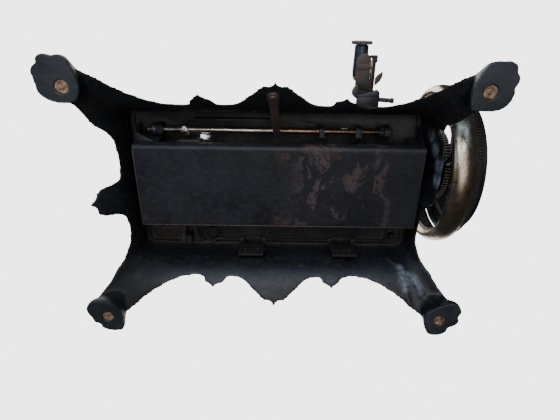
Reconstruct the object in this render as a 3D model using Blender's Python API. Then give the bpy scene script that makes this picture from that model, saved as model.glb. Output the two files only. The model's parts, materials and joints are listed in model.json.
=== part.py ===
"""Hand-cranked cast-iron sewing machine on an ornamental four-footed base.

Machine frame: X to the right (hand wheel side), Y to the back, Z up, metres.
The soles of the feet are at Z = 0.  OX, OY move the whole machine so that the
origin is the centre of its footprint box.  The machine is a base casting, a
head that tilts back on two rear hinges, the drive train, the stitch mechanism
and a bobbin winder at the front right.
"""
import math

import bmesh
import bpy
from mathutils import Matrix, Vector

for old in list(bpy.data.objects):
    bpy.data.objects.remove(old, do_unlink=True)

# ------------------------------------------------------------ driving sizes
OX, OY = -0.02822, 0.00265        # shift from the machine frame to the part frame
GAP = 0.0003                    # clearance between touching pieces
BED_HX, BED_HY = 0.1575, 0.0865  # half outline of the base wall (outside)
WALL = 0.0032
RIM_Z = 0.0845                  # top of the base wall
FLARE_TOP = 0.070               # the skirt flares below this height
FLARE_K, FLARE_P = 76.8, 2.6
FOOT = (0.1800, 0.1225)         # foot centres
PLUG_R = 0.0062
BED_LOW, BED_SKIN, BED_TOP = 0.0848, 0.0885, 0.0935
HINGE = (0.0895, 0.0895)        # Y, Z of the head's tilt axis
WHEEL = (-0.0151, 0.1100)       # Y, Z of the hand wheel's axle
GEAR_N, PINION_N, MODULE = 150, 30, 0.160 / 150
SHAFT_Z = WHEEL[1] + MODULE * (GEAR_N + PINION_N) / 2
ARM_Y = WHEEL[0]
ROCK = (-0.0606, 0.0795)        # Y, Z of the feed rock shaft
NEEDLE_X = -0.1050
PRESS_Y = 0.0005
WIND_X, WIND_Z = 0.0875, 0.1080
CRANK_R = 0.0620


# ------------------------------------------------------------ materials
def material(name, rgb, rough, metal):
    m = bpy.data.materials.new(name)
    m.use_nodes = True
    p = m.node_tree.nodes["Principled BSDF"]
    p.inputs["Base Color"].default_value = (*rgb, 1.0)
    p.inputs["Roughness"].default_value = rough
    p.inputs["Metallic"].default_value = metal
    return m


JAPAN = material("japanned_iron", (0.018, 0.019, 0.024), 0.38, 0.1)
BOXBLK = material("box_black", (0.030, 0.031, 0.040), 0.45, 0.1)
STEEL = material("steel", (0.48, 0.46, 0.43), 0.35, 1.0)
NICKEL = material("nickel", (0.66, 0.62, 0.54), 0.28, 1.0)
RUSTY = material("brown_steel", (0.16, 0.085, 0.055), 0.6, 0.5)
DARK = material("dark_steel", (0.035, 0.035, 0.040), 0.5, 0.7)
BLUED = material("blued_steel", (0.05, 0.06, 0.085), 0.35, 0.8)
WOOD = material("wood", (0.20, 0.085, 0.035), 0.45, 0.0)
CORK = material("plug", (0.38, 0.21, 0.12), 0.85, 0.0)


# ------------------------------------------------------------ mesh tools
def mesh_of(verts, faces):
    me = bpy.data.meshes.new("m")
    me.from_pydata([tuple(v) for v in verts], [], faces)
    bm = bmesh.new()
    bm.from_mesh(me)
    bmesh.ops.remove_doubles(bm, verts=bm.verts, dist=1e-7)
    bmesh.ops.recalc_face_normals(bm, faces=bm.faces)
    if bm.calc_volume(signed=True) < 0:
        bmesh.ops.reverse_faces(bm, faces=bm.faces)
    bm.to_mesh(me)
    bm.free()
    return me


def prism(points, a, b, axis="z"):
    """A polygon extruded along an axis; x: (y, z), y: (x, z), z: (x, y)."""
    def place(p, h):
        return {"x": (h, p[0], p[1]), "y": (p[0], h, p[1]), "z": (p[0], p[1], h)}[axis]
    n = len(points)
    verts = [place(p, a) for p in points] + [place(p, b) for p in points]
    faces = [list(range(n))[::-1], list(range(n, 2 * n))]
    faces += [[i, (i + 1) % n, n + (i + 1) % n, n + i] for i in range(n)]
    return mesh_of(verts, faces)


def block(x0, x1, y0, y1, z0, z1):
    return prism([(x0, y0), (x1, y0), (x1, y1), (x0, y1)], z0, z1)


def ring_points(cx, cy, r, n=24, start=0.0):
    return [(cx + r * math.cos(start + 2 * math.pi * i / n),
             cy + r * math.sin(start + 2 * math.pi * i / n)) for i in range(n)]


def rounded(x0, x1, y0, y1, r, n=4):
    pts = []
    for cx, cy, a in ((x1 - r, y1 - r, 0), (x0 + r, y1 - r, 90), (x0 + r, y0 + r, 180), (x1 - r, y0 + r, 270)):
        for i in range(n + 1):
            t = math.radians(a + 90 * i / n)
            pts.append((cx + r * math.cos(t), cy + r * math.sin(t)))
    return pts


def rod(p, q, r, n=16, r2=None):
    """A round bar from p to q."""
    p, q = Vector(p), Vector(q)
    d = (q - p).normalized()
    u = d.orthogonal().normalized()
    w = d.cross(u)
    r2 = r if r2 is None else r2
    verts = []
    for c, rr in ((p, r), (q, r2)):
        verts += [c + (u * math.cos(2 * math.pi * i / n) + w * math.sin(2 * math.pi * i / n)) * rr for i in range(n)]
    faces = [list(range(n))[::-1], list(range(n, 2 * n))]
    faces += [[i, (i + 1) % n, n + (i + 1) % n, n + i] for i in range(n)]
    return mesh_of(verts, faces)


def turned(profile, origin, axis, n=32, squeeze=1.0):
    """A closed profile of (radius, height) turned about an axis; radius 0 is a pole."""
    a = Vector(axis).normalized()
    u = Vector((0, 1, 0)) if abs(a.y) < 0.9 else Vector((1, 0, 0))
    u = (u - a * u.dot(a)).normalized()
    w = a.cross(u)
    o = Vector(origin)
    verts, index = [], []
    for r, h in profile:
        if r < 1e-9:
            index.append([len(verts)] * n)
            verts.append(o + a * h)
        else:
            index.append(list(range(len(verts), len(verts) + n)))
            verts += [o + a * h + (u * math.cos(2 * math.pi * i / n) + w * math.sin(2 * math.pi * i / n) * squeeze) * r
                      for i in range(n)]
    faces = []
    for k in range(len(profile)):
        lo, hi = index[k], index[(k + 1) % len(profile)]
        for i in range(n):
            j = (i + 1) % n
            quad = [lo[i], lo[j], hi[j], hi[i]]
            clean = [v for t, v in enumerate(quad) if v not in quad[:t]]
            if len(clean) > 2:
                faces.append(clean)
    return mesh_of(verts, faces)


def swept(path, sections, up=(0, 1, 0)):
    """Closed sections [(a, b), ...] carried along a path; one section per point."""
    pts = [Vector(p) for p in path]
    upv = Vector(up)
    verts, n = [], len(sections[0])
    for k, p in enumerate(pts):
        d = (pts[min(k + 1, len(pts) - 1)] - pts[max(k - 1, 0)]).normalized()
        side = d.cross(upv).normalized()
        top = side.cross(d).normalized()
        verts += [p + side * a + top * b for a, b in sections[k]]
    faces = [list(range(n))[::-1], [(len(pts) - 1) * n + i for i in range(n)]]
    for k in range(len(pts) - 1):
        for i in range(n):
            j = (i + 1) % n
            faces.append([k * n + i, k * n + j, (k + 1) * n + j, (k + 1) * n + i])
    return mesh_of(verts, faces)


def ellipse(a, b, n=14):
    return [(a * math.cos(2 * math.pi * i / n), b * math.sin(2 * math.pi * i / n)) for i in range(n)]


def flat_bar(w, t):
    return [(-w / 2, -t / 2), (w / 2, -t / 2), (w / 2, t / 2), (-w / 2, t / 2)]


def boolean(a, b, operation):
    oa, ob = bpy.data.objects.new("a", a), bpy.data.objects.new("b", b)
    for o in (oa, ob):
        bpy.context.scene.collection.objects.link(o)
    m = oa.modifiers.new("b", "BOOLEAN")
    m.operation, m.object, m.solver = operation, ob, "EXACT"
    dg = bpy.context.evaluated_depsgraph_get()
    out = bpy.data.meshes.new_from_object(oa.evaluated_get(dg))
    for o in (oa, ob):
        bpy.data.objects.remove(o, do_unlink=True)
    return out


def union(first, *rest):
    for r in rest:
        first = boolean(first, r, "UNION")
    return first


def minus(first, *rest):
    for r in rest:
        first = boolean(first, r, "DIFFERENCE")
    return first


def moved(me, matrix):
    me.transform(matrix)
    return me


def mirrored(me, axis):
    s = [1, 1, 1]
    s["xyz".index(axis)] = -1
    me = me.copy()
    me.transform(Matrix.Diagonal((*s, 1)))
    me.flip_normals()
    return me


COUNT = {}


def part(name, me, mat, pivot=(0.0, 0.0, 0.0), angle=35):
    """Links a finished solid as a named object whose origin is its pivot."""
    me = me.copy()
    me.name = name
    me.transform(Matrix.Translation(-Vector(pivot)))
    me.materials.clear()
    me.materials.append(mat)
    for p in me.polygons:
        p.material_index = 0
    me.shade_smooth()
    me.set_sharp_from_angle(angle=math.radians(angle))
    o = bpy.data.objects.new(name, me)
    o.location = Vector(pivot) + Vector((OX, OY, 0))
    bpy.context.scene.collection.objects.link(o)
    me.calc_loop_triangles()
    COUNT[name] = len(me.loop_triangles)
    return o


def lerp(table, t):
    if t <= table[0][0]:
        return table[0][1]
    for (a, va), (b, vb) in zip(table, table[1:]):
        if t <= b:
            return va + (vb - va) * (t - a) / (b - a)
    return table[-1][1]


# ------------------------------------------------------------ base casting
def flare(z):
    return FLARE_K * max(0.0, FLARE_TOP - z) ** FLARE_P


# Lower edge of the front and back skirts by distance from the middle: a
# pointed pendant in the middle, a small lobe each side, then the leg.
FRONT_EDGE = [(0, .0168), (.004, .0198), (.0145, .0222), (.026, .0285), (.036, .0345), (.0525, .0366), (.0550, .0312),
              (.0660, .0262), (.0775, .0325), (.0800, .0362), (.100, .0368), (.125, .0290), (.1455, .0203)]
CORNER_EDGE = [(0, .0203), (8, .0165), (16, .0130), (24, .0095), (48, .0095), (54, .0150), (60, .0228), (68, .0265),
               (80, .0305), (90, .0335)]
LEFT_EDGE = [(-.0745, .0335), (-.0600, .0450), (-.035, .0497), (-.0155, .0460), (-.0138, .0335), (-.0080, .0262),
             (.0035, .0208), (.0150, .0262), (.0208, .0335), (.0225, .0425), (.042, .0500), (.0655, .0430), (.0745, .0380)]
RIGHT_EDGE = [(-.0745, .0480), (-.0680, .0490), (-.0620, .0370), (-.050, .0310), (-.033, .0300), (-.015, .0302),
              (.0005, .0330), (.0080, .0420), (.030, .0520), (.0526, .0543), (.0745, .0410)]
CORNER_R = 0.012


def stations():
    """(top x, top y, normal x, normal y, edge z, flare factor, push) once round the base, seen from above."""
    cx, cy = BED_HX - CORNER_R, BED_HY - CORNER_R
    out = []

    def corner(sx, sy, from_front):
        angles = [0, 18, 32, 46, 56, 70, 90]
        rows = []
        for a in angles:
            t = math.radians(a)
            z = lerp(CORNER_EDGE, a)
            if sx > 0:
                ez = lerp([(60, 0.0), (90, 0.0145)], a) if sy < 0 else lerp([(60, 0.0), (90, 0.0075)], a)
                z = z + ez
            elif sy > 0:
                z = z + lerp([(60, 0.0), (90, 0.0045)], a)
            boost = 1 + 0.22 * math.exp(-((a - 46) / 15.0) ** 2)
            rows.append((sx * (cx + CORNER_R * math.sin(t)), sy * (cy + CORNER_R * math.cos(t)),
                         sx * math.sin(t), sy * math.cos(t), z, boost, 0.0))
        return rows if from_front else rows[::-1]

    def span(lo, hi, extra):
        firm = sorted({round(v, 5) for v in extra if lo < v < hi})
        return firm

    marks = [s * a for a, _ in FRONT_EDGE for s in (1, -1)]
    # front, left to right
    for x in span(-cx, cx, marks):
        out.append((x, -BED_HY, 0, -1, lerp(FRONT_EDGE, abs(x)), 1.0, 0.0))
    out += corner(1, -1, True)
    for y in span(-cy, cy, [a for a, _ in RIGHT_EDGE]):
        z = lerp(RIGHT_EDGE, y)
        bulge = 0.0062 * max(0.0, 1 - ((y + 0.033) / 0.040) ** 2) ** 0.5 if abs(y + 0.033) < 0.040 else 0.0
        lobe = max(0.0, 1 - ((y + 0.030) / 0.046) ** 4) if abs(y + 0.030) < 0.046 else 0.0
        out.append((BED_HX, y, 1, 0, z, 1 - lobe, bulge))
    out += corner(1, 1, False)
    for x in span(-cx, cx, marks)[::-1]:
        out.append((x, BED_HY, 0, 1, lerp(FRONT_EDGE, abs(x)), 1.0, 0.0))
    out += corner(-1, 1, True)
    for y in span(-cy, cy, [a for a, _ in LEFT_EDGE])[::-1]:
        out.append((-BED_HX, y, -1, 0, lerp(LEFT_EDGE, y), 1.0, 0.0))
    out += corner(-1, -1, False)
    return out


def spread(z, k):
    return flare(z) * (k if k < 1 else 1 + (k - 1) * min(1.0, flare(z) / 0.03))


def skirt():
    """One closed shell: outer face down, lower edge, inner face up, rim."""
    st = stations()
    rows_n = 5
    loops = []
    for x, y, nx, ny, ze, k, push in st:
        diag = min(abs(nx), abs(ny)) * 1.414
        thick = WALL * (1 + 0.9 * diag)
        loop = []
        for i in range(rows_n):
            f = i / (rows_n - 1)
            z = RIM_Z + (ze - RIM_Z) * (1 - (1 - f) ** 1.35)
            d = spread(z, k) + push * min(1.0, max(0.0, (0.078 - z) / 0.03))
            loop.append((x + nx * d, y + ny * d, z))
        for i in range(rows_n - 1, -1, -1):
            f = i / (rows_n - 1)
            z = RIM_Z + (ze + 0.0008 - RIM_Z) * (1 - (1 - f) ** 1.35)
            if i == 0:
                z = RIM_Z
            d = spread(z, k) + push * min(1.0, max(0.0, (0.078 - z) / 0.03)) - thick * (0.6 + 0.4 * (1 - f)) * (1 if f < 0.9 else 0.9)
            if i == 0:
                d = -0.0040
            loop.append((x + nx * d, y + ny * d, z))
        loops.append(loop)
    m, n = len(loops), len(loops[0])
    verts = [v for loop in loops for v in loop]
    faces = []
    for a in range(m):
        b = (a + 1) % m
        for i in range(n):
            j = (i + 1) % n
            faces.append([a * n + i, a * n + j, b * n + j, b * n + i])
    return mesh_of(verts, faces)


def paw(sx, sy):
    """A foot: scalloped toes outwards, flat sole, domed top, with a plug hole."""
    cx, cy = FOOT
    a0 = math.atan2(0.74, 0.67)
    lower, upper = [], []
    n = 24
    for i in range(n):
        t = 2 * math.pi * i / n
        rel = (t - a0 + math.pi) % (2 * math.pi) - math.pi
        r = 0.0196
        if abs(rel) < 1.9:
            r += 0.0019 * abs(math.cos(rel * 2.35)) - 0.0003
        lower.append((cx + r * math.cos(t), cy + r * math.sin(t)))
        upper.append(((cx + 0.93 * (r - 0.0022) * math.cos(t)), (cy + 0.93 * (r - 0.0022) * math.sin(t))))
    top = [(cx - 0.006 + 0.0105 * math.cos(2 * math.pi * i / n), cy - 0.006 + 0.0105 * math.sin(2 * math.pi * i / n)) for i in range(n)]
    rings = [(lower, 0.0), (lower, 0.0055), (upper, 0.0115), (top, 0.0195)]
    verts = [(p[0], p[1], z) for ring, z in rings for p in ring]
    faces = [list(range(n))[::-1], [3 * n + i for i in range(n)]]
    for k in range(3):
        for i in range(n):
            j = (i + 1) % n
            faces.append([k * n + i, k * n + j, (k + 1) * n + j, (k + 1) * n + i])
    me = mesh_of(verts, faces)
    if sx < 0:
        me = mirrored(me, "x")
    if sy < 0:
        me = mirrored(me, "y")
    return me


LATCH_N = Vector((0, -0.637, 0.771)).normalized()
LATCH_D = Vector((0.060, 0.771, 0.637)).normalized()
LATCH_P = Vector((-0.0020, -0.1062, 0.0245))

HINGE_XS = (-0.0270, 0.0800)     # middles of the two hinges
HINGE_HALF = 0.0145

base = skirt()
for sx in (-1, 1):
    for sy in (-1, 1):
        base = union(base, paw(sx, sy))
for hx in HINGE_XS:
    base = minus(base, block(hx - HINGE_HALF - 0.0006, hx + HINGE_HALF + 0.0006, 0.0600, 0.1000, 0.0765, 0.1000))
# the plugs sit a little off the middle of each sole, as drilled
HOLES = {(-1, -1): (-0.1770, -0.1168), (1, -1): (0.1790, -0.1172), (-1, 1): (-0.1785, 0.1248), (1, 1): (0.1793, 0.1243)}
for cx, cy in HOLES.values():
    base = minus(base, rod((cx, cy, -0.002), (cx, cy, 0.0060), PLUG_R + GAP, 20))
boss = rod(LATCH_P + LATCH_N * 0.0016, LATCH_P + LATCH_N * 0.0075, 0.0050, 14)
base = union(base, boss)
base = minus(base, rod(LATCH_P - LATCH_N * 0.004, LATCH_P + LATCH_N * 0.0068, 0.0019, 12))
part("base_casting", base, JAPAN)

for nm, sx, sy in (("foot_plug_front_left", -1, -1), ("foot_plug_front_right", 1, -1),
                   ("foot_plug_rear_left", -1, 1), ("foot_plug_rear_right", 1, 1)):
    part(nm, turned([(0, 0.0014), (0.0040, 0.0009), (PLUG_R, 0.0012), (PLUG_R, 0.0056), (0, 0.0056)],
                    (*HOLES[(sx, sy)], 0), (0, 0, 1), 20), CORK)

# ------------------------------------------------------------ rear hinges
hy, hz = HINGE
for side, hx in (("left", HINGE_XS[0]), ("right", HINGE_XS[1])):
    x0, x1 = hx - HINGE_HALF, hx + HINGE_HALF
    # fixed leaf: plate inside the back wall, arm through the wall's notch, one middle knuckle
    leaf = union(block(x0, x1, 0.0765, 0.0788, 0.0555, 0.0805),
                 block(x0, x1, 0.0765, 0.0900, 0.0782, 0.0805),
                 block(hx - 0.0046, hx + 0.0046, 0.0873, 0.0917, 0.0795, 0.0895),
                 rod((hx - 0.0046, hy, hz), (hx + 0.0046, hy, hz), 0.0034, 16))
    leaf = minus(leaf, rod((x0, hy, hz), (x1, hy, hz), 0.00172, 16))
    for dx in (-0.0072, 0.0072):
        leaf = union(leaf, turned([(0, -0.0016), (0.0014, -0.0010), (0.0019, 0.0006), (0, 0.0006)],
                                  (hx + dx, 0.0765, 0.0655), (0, 1, 0), 10))
    part("hinge_leaf_" + side, leaf, DARK)
    part("hinge_pin_" + side, rod((x0 + 0.0004, hy, hz), (x1 - 0.0004, hy, hz), 0.0016, 16), STEEL)

# ------------------------------------------------------------ head latch
u = LATCH_D
v = LATCH_N.cross(u).normalized()


def bar_point(a, b, c):
    return LATCH_P + u * a + v * b + LATCH_N * c


outline = [(-0.0055 * math.cos(math.radians(t)), 0.0055 * math.sin(math.radians(t))) for t in range(-80, 81, 20)]
outline += [(0.0120, 0.0044), (0.0400, 0.0040), (0.0600, 0.0034), (0.0608, 0.0), (0.0600, -0.0034), (0.0400, -0.0040), (0.0120, -0.0044)]
n = len(outline)
verts = [bar_point(a, b, -0.0012) for a, b in outline] + [bar_point(a, b, 0.0012) for a, b in outline]
faces = [list(range(n)), list(range(n, 2 * n))[::-1]] + [[i, (i + 1) % n, n + (i + 1) % n, n + i] for i in range(n)]
latch = minus(mesh_of(verts, faces), rod(LATCH_P - LATCH_N * 0.01, LATCH_P + LATCH_N * 0.01, 0.0019, 12))
part("head_latch", latch, RUSTY, pivot=LATCH_P)
screw = union(rod(LATCH_P - LATCH_N * 0.0030, LATCH_P - LATCH_N * 0.0015, 0.0038, 16),
              rod(LATCH_P - LATCH_N * 0.0020, LATCH_P + LATCH_N * 0.0064, 0.0016, 12))
slot = mesh_of([LATCH_P + u * a + v * b - LATCH_N * c for c in (0.0040, 0.0023) for a, b in ((-0.005, -0.0004), (0.005, -0.0004), (0.005, 0.0004), (-0.005, 0.0004))],
               [[0, 1, 2, 3], [4, 7, 6, 5], [0, 4, 5, 1], [1, 5, 6, 2], [2, 6, 7, 3], [3, 7, 4, 0]])
part("latch_screw", minus(screw, slot), RUSTY)

# ------------------------------------------------------------ bed of the head
bed = prism(rounded(-0.1545, 0.1545, -0.0835, 0.0835, 0.010), BED_SKIN, BED_TOP)
rib = minus(prism(rounded(-0.1545, 0.1545, -0.0835, 0.0835, 0.010), BED_LOW, BED_SKIN + 0.001),
            prism(rounded(-0.1495, 0.1495, -0.0785, 0.0785, 0.006), BED_LOW - 0.01, BED_TOP + 0.01))
bed = union(bed, rib)
bead_path = [(-0.0655, 0.0752), (0.1290, 0.0752)] + [(0.1290 + 0.0045 * math.sin(math.radians(t)), 0.0707 + 0.0045 * math.cos(math.radians(t))) for t in (30, 60)] + [(0.1335, 0.0707), (0.1335, 0.0430)]
bed = union(bed, swept([(x, y, 0.0870) for x, y in bead_path], [flat_bar(0.0018, 0.0042)] * len(bead_path), up=(0, 0, 1)))
bed = union(bed, minus(rod((-0.0740, 0.0660, 0.0850), (-0.0740, 0.0660, 0.0895), 0.0100, 24), rod((-0.0740, 0.0660, 0.0840), (-0.0740, 0.0660, 0.0884), 0.0081, 20),
                       block(-0.0900, -0.0600, 0.0500, 0.0668, 0.0800, 0.0884)))
# hinge notches at the back, the needle window, the slide window and an oil hole
for hx in HINGE_XS:
    bed = minus(bed, block(hx - HINGE_HALF - 0.0006, hx + HINGE_HALF + 0.0006, 0.0735, 0.1000, 0.0800, 0.1000))
bed = minus(bed, prism(rounded(-0.1260, -0.0845, -0.0320, 0.0080, 0.006), 0.08, 0.10))
bed = minus(bed, block(-0.1420, -0.0560, -0.0600, -0.0400, 0.08, 0.10))
bed = minus(bed, block(0.0700, 0.0768, -0.0620, -0.0590, 0.08, 0.10))
# two lugs that carry the rock shaft
for x in (-0.1215, 0.1175):
    lug = prism([(ROCK[0] - 0.0062, 0.0895), (ROCK[0] - 0.0052, 0.0765), (ROCK[0] - 0.0030, 0.0745), (ROCK[0] + 0.0030, 0.0745),
                 (ROCK[0] + 0.0052, 0.0765), (ROCK[0] + 0.0062, 0.0895)], x - 0.0032, x + 0.0032, "x")
    bed = union(bed, lug)
    bed = minus(bed, rod((x - 0.01, *ROCK), (x + 0.01, *ROCK), 0.0030, 16))
# race guide, stop lug and screw boss stand down from the bed
bed = union(bed, block(-0.0857, -0.0067, -0.0722, -0.0700, 0.0800, 0.0895), block(-0.1038, -0.0985, 0.0655, 0.0770, 0.0745, 0.0895),
            minus(rod((0.1400, 0.0680, 0.0805), (0.1400, 0.0680, 0.0895), 0.0042, 14), block(0.1340, 0.1460, 0.0676, 0.0684, 0.0800, 0.0818)))
part("bed_plate", bed, JAPAN)

# moving hinge leaves, let into the bed's back edge
for side, hx in (("left", HINGE_XS[0]), ("right", HINGE_XS[1])):
    x0, x1 = hx - HINGE_HALF, hx + HINGE_HALF
    plate = block(x0, x1, 0.0738, 0.0860, 0.0905, 0.0930)
    plate = union(plate, block(x0, x0 + 0.0090, 0.0850, 0.0905, 0.0905, 0.0929), block(x1 - 0.0090, x1, 0.0850, 0.0905, 0.0905, 0.0929),
                  rod((x0, hy, hz), (x0 + 0.0090, hy, hz), 0.0034, 16), rod((x1 - 0.0090, hy, hz), (x1, hy, hz), 0.0034, 16))
    plate = minus(plate, rod((x0 - 0.01, hy, hz), (x1 + 0.01, hy, hz), 0.00172, 16))
    part("bed_hinge_" + side, plate, DARK, pivot=(0, hy, hz))

# needle plate with its needle hole and feed slots
np_ = prism(rounded(-0.1256, -0.0849, -0.0316, 0.0076, 0.0058), 0.0903, 0.0940)
np_ = minus(np_, rod((NEEDLE_X, ARM_Y, 0.08), (NEEDLE_X, ARM_Y, 0.10), 0.0011, 12),
            block(-0.1105, -0.1078, -0.0225, -0.0075, 0.08, 0.10), block(-0.1022, -0.0995, -0.0225, -0.0075, 0.08, 0.10))
part("needle_plate", np_, STEEL)
part("slide_plate_left", block(-0.1417, -0.0832, -0.0597, -0.0403, 0.0908, 0.0938), STEEL, pivot=(-0.1125, -0.05, 0.0923))
part("slide_plate_right", block(-0.0690, -0.0563, -0.0597, -0.0403, 0.0908, 0.0938), STEEL)

# long sheet box that hangs under the bed and closes the works from below
bx0, bx1, by0, by1, bz0, bz1 = -0.1433, 0.1515, -0.0535, 0.0362, 0.0465, 0.0840


def trough(y0, y1, z0, z1, r):
    pts = [(y0, z1)]
    for i in range(5):
        t = math.radians(180 + 90 * i / 4)
        pts.append((y0 + r + r * math.cos(t), z0 + r + r * math.sin(t)))
    for i in range(3):
        t = math.radians(270 + 90 * i / 2)
        pts.append((y1 - 0.0012 + 0.0012 * math.cos(t), z0 + 0.0012 + 0.0012 * math.sin(t)))
    pts.append((y1, z1))
    return pts


tray = minus(prism(trough(by0, by1, bz0, bz1, 0.0045), bx0, bx1, "x"),
             prism(trough(by0 + 0.0013, by1 - 0.0013, bz0 + 0.0013, bz1 + 0.01, 0.0034), bx0 + 0.0013, bx1 - 0.0013, "x"))
for x0, x1 in ((bx0, bx0 + 0.0014), (bx1 - 0.0014, bx1)):
    tray = union(tray, prism([(by0 + 0.002, 0.0520), (-0.0665, 0.0770), (-0.0665, 0.0838), (by0 + 0.002, 0.0838)], x0, x1, "x"))
tray = union(tray, prism([(bx0 + 0.0004, -0.0640), (bx0 + 0.0004, by0 + 0.0008), (bx0 + 0.0200, by0 + 0.0008)], 0.0600, 0.0612, "z"))
# the front wall is only a low lip, so the works behind it stay within reach
tray = minus(tray, block(bx0 + 0.0230, bx1 - 0.0130, by0 - 0.0010, by0 + 0.0020, 0.0590, 0.0850))
part("underbed_box", tray, BOXBLK)

# greasy cover plate and stop block at the back left of the bed's underside
cover = union(prism(rounded(-0.1440, -0.1050, 0.0480, 0.0765, 0.002, 2), 0.0850, 0.0868), block(-0.1115, -0.1050, 0.0480, 0.0765, 0.0790, 0.0860))
part("rear_cover_plate", cover, DARK)

# ------------------------------------------------------------ shuttle works
LEVER = (-0.0740, 0.0660)
lever_path = [(LEVER[0], LEVER[1], 0.0864), (-0.0840, 0.050, 0.0864), (-0.0905, 0.030, 0.0864), (-0.0930, 0.010, 0.0864), (-0.0935, -0.0250, 0.0864)]
lever = union(swept(lever_path, [flat_bar(0.0042, 0.0024)] * 5, up=(0, 0, 1)), rod((LEVER[0], LEVER[1], 0.0852), (LEVER[0], LEVER[1], 0.0876), 0.0066, 20))
part("shuttle_lever", lever, STEEL, pivot=(LEVER[0], LEVER[1], 0.0864))
part("shuttle_carrier", union(block(-0.1050, -0.0810, -0.0395, -0.0330, 0.0745, 0.0855), block(-0.1050, -0.0810, -0.0395, -0.0275, 0.0700, 0.0750)), STEEL)
sh = turned([(0, -0.0170), (0.0022, -0.0150), (0.0040, -0.0090), (0.0046, 0.0), (0.0044, 0.0100), (0.0034, 0.0140), (0, 0.0145)], (-0.0930, -0.0470, 0.0810), (1, 0, 0), 16)
part("shuttle", sh, NICKEL)

# feed: rock shaft at the front, its collars, crank and the feed dog
ry, rz = ROCK
part("feed_rock_shaft", rod((-0.1350, ry, rz), (0.1130 + 0.010, ry, rz), 0.0028, 20), STEEL, pivot=(0, ry, rz))
part("shaft_collar_left", minus(rod((-0.1300, ry, rz), (-0.1250, ry, rz), 0.0062, 20), rod((-0.14, ry, rz), (-0.12, ry, rz), 0.0030, 20)), BLUED, pivot=(0, ry, rz))
part("shaft_collar_bright", minus(turned([(0.0029, -0.0036), (0.0048, -0.0036), (0.0058, -0.0018), (0.0058, 0.0018), (0.0048, 0.0036), (0.0029, 0.0036)], (-0.0955, ry, rz), (1, 0, 0), 20),
                                  rod((-0.12, ry, rz), (-0.08, ry, rz), 0.0030, 20)), NICKEL, pivot=(0, ry, rz))
for nm, x, w in (("feed_strap_middle", 0.0485, 0.0060), ("feed_strap_right", 0.0870, 0.0070)):
    body = union(rod((x - w / 2, ry, rz), (x + w / 2, ry, rz), 0.0058, 20), prism([(ry - 0.002, rz - 0.0052), (ry + 0.0052, rz - 0.0072), (ry + 0.0054, rz + 0.0010), (ry + 0.0020, rz + 0.0030)], x - w / 2, x + w / 2, "x"))
    part(nm, minus(body, rod((x - 0.02, ry, rz), (x + 0.02, ry, rz), 0.0030, 20)), DARK, pivot=(0, ry, rz))
end = union(rod((0.1140, ry, rz), (0.1140 - 0.0055, ry, rz), 0.0056, 20), rod((0.1110, ry, rz), (0.1110, ry - 0.0055, rz - 0.0060), 0.0022, 12))
part("shaft_end_collar", minus(end, rod((0.10, ry, rz), (0.13, ry, rz), 0.0030, 20)), DARK, pivot=(0, ry, rz))
part("feed_bar", union(block(-0.1110, -0.0990, -0.0240, 0.0200, 0.0775, 0.0815), block(-0.1075, -0.1025, -0.0240, -0.0200, 0.0775, 0.0860)), STEEL)
dog = union(block(-0.1100, -0.1000, -0.0200, -0.0100, 0.0819, 0.0890), block(-0.1098, -0.1085, -0.0195, -0.0105, 0.088, 0.0932), block(-0.1015, -0.1002, -0.0195, -0.0105, 0.088, 0.0932))
dog = minus(dog, block(NEEDLE_X - 0.0017, NEEDLE_X + 0.0017, ARM_Y - 0.0039, ARM_Y + 0.0039, 0.08, 0.10))
part("feed_dog", dog, STEEL)

# ------------------------------------------------------------ arm
ay, az = ARM_Y, SHAFT_Z


def arm_section(a, b):
    return ellipse(a, b, 14)


arm_path, arm_sec = [], []
for x, z, a, b in ((0.0960, 0.0938, .0350, .0300), (0.0960, 0.0985, .0335, .0285), (0.0962, 0.1100, .0255, .0225), (0.0970, 0.1300, .0205, .0185),
                   (0.0975, 0.1550, .0195, .0172), (0.0950, 0.1760, .0205, .0175), (0.0870, 0.1930, .0215, .0178), (0.0740, 0.2040, .0205, .0175),
                   (0.0560, 0.2085, .0185, .0165), (0.0250, 0.2080, .0165, .0152), (-0.0150, 0.2070, .0155, .0145), (-0.0500, 0.2066, .0160, .0148), (-0.0780, 0.2062, .0185, .0165), (-0.0860, 0.2062, .0195, .0172)):
    arm_path.append((x, ay, z))
    arm_sec.append(arm_section(a, b))
arm = swept(arm_path, arm_sec, up=(0, 1, 0))
arm = union(arm, prism(rounded(0.0560, 0.1360, ay - 0.0330, ay + 0.0330, 0.018), 0.0938, 0.0990))
arm = union(arm, turned([(0, 0.0), (0.0170, 0.0), (0.0185, 0.004), (0.0185, 0.026), (0.0150, 0.0330), (0, 0.0330)], (0.0900, ay, az), (1, 0, 0), 24))
head_block = prism(rounded(ay - 0.0185, ay + 0.0255, 0.1640, 0.2330, 0.010), -0.1240, -0.0820, "x")
arm = union(arm, head_block)
arm = minus(arm, prism(rounded(ay - 0.0150, ay + 0.0215, 0.1740, 0.2270, 0.006), -0.1300, -0.0900, "x"))
arm = minus(arm, block(-0.1205, -0.1155, ay - 0.0300, ay - 0.0100, 0.1940, 0.2215))
arm = minus(arm, rod((-0.20, ay, az), (0.20, ay, az), 0.0046, 20))
arm = minus(arm, rod((NEEDLE_X, ay, 0.10), (NEEDLE_X, ay, 0.30), 0.0031, 16), rod((NEEDLE_X, PRESS_Y, 0.10), (NEEDLE_X, PRESS_Y, 0.30), 0.0031, 16))
arm = minus(arm, block(-0.1150, -0.0950, -0.0030 + PRESS_Y, 0.0300, 0.1900, 0.2080))
part("arm_casting", arm, JAPAN, angle=40)

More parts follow.
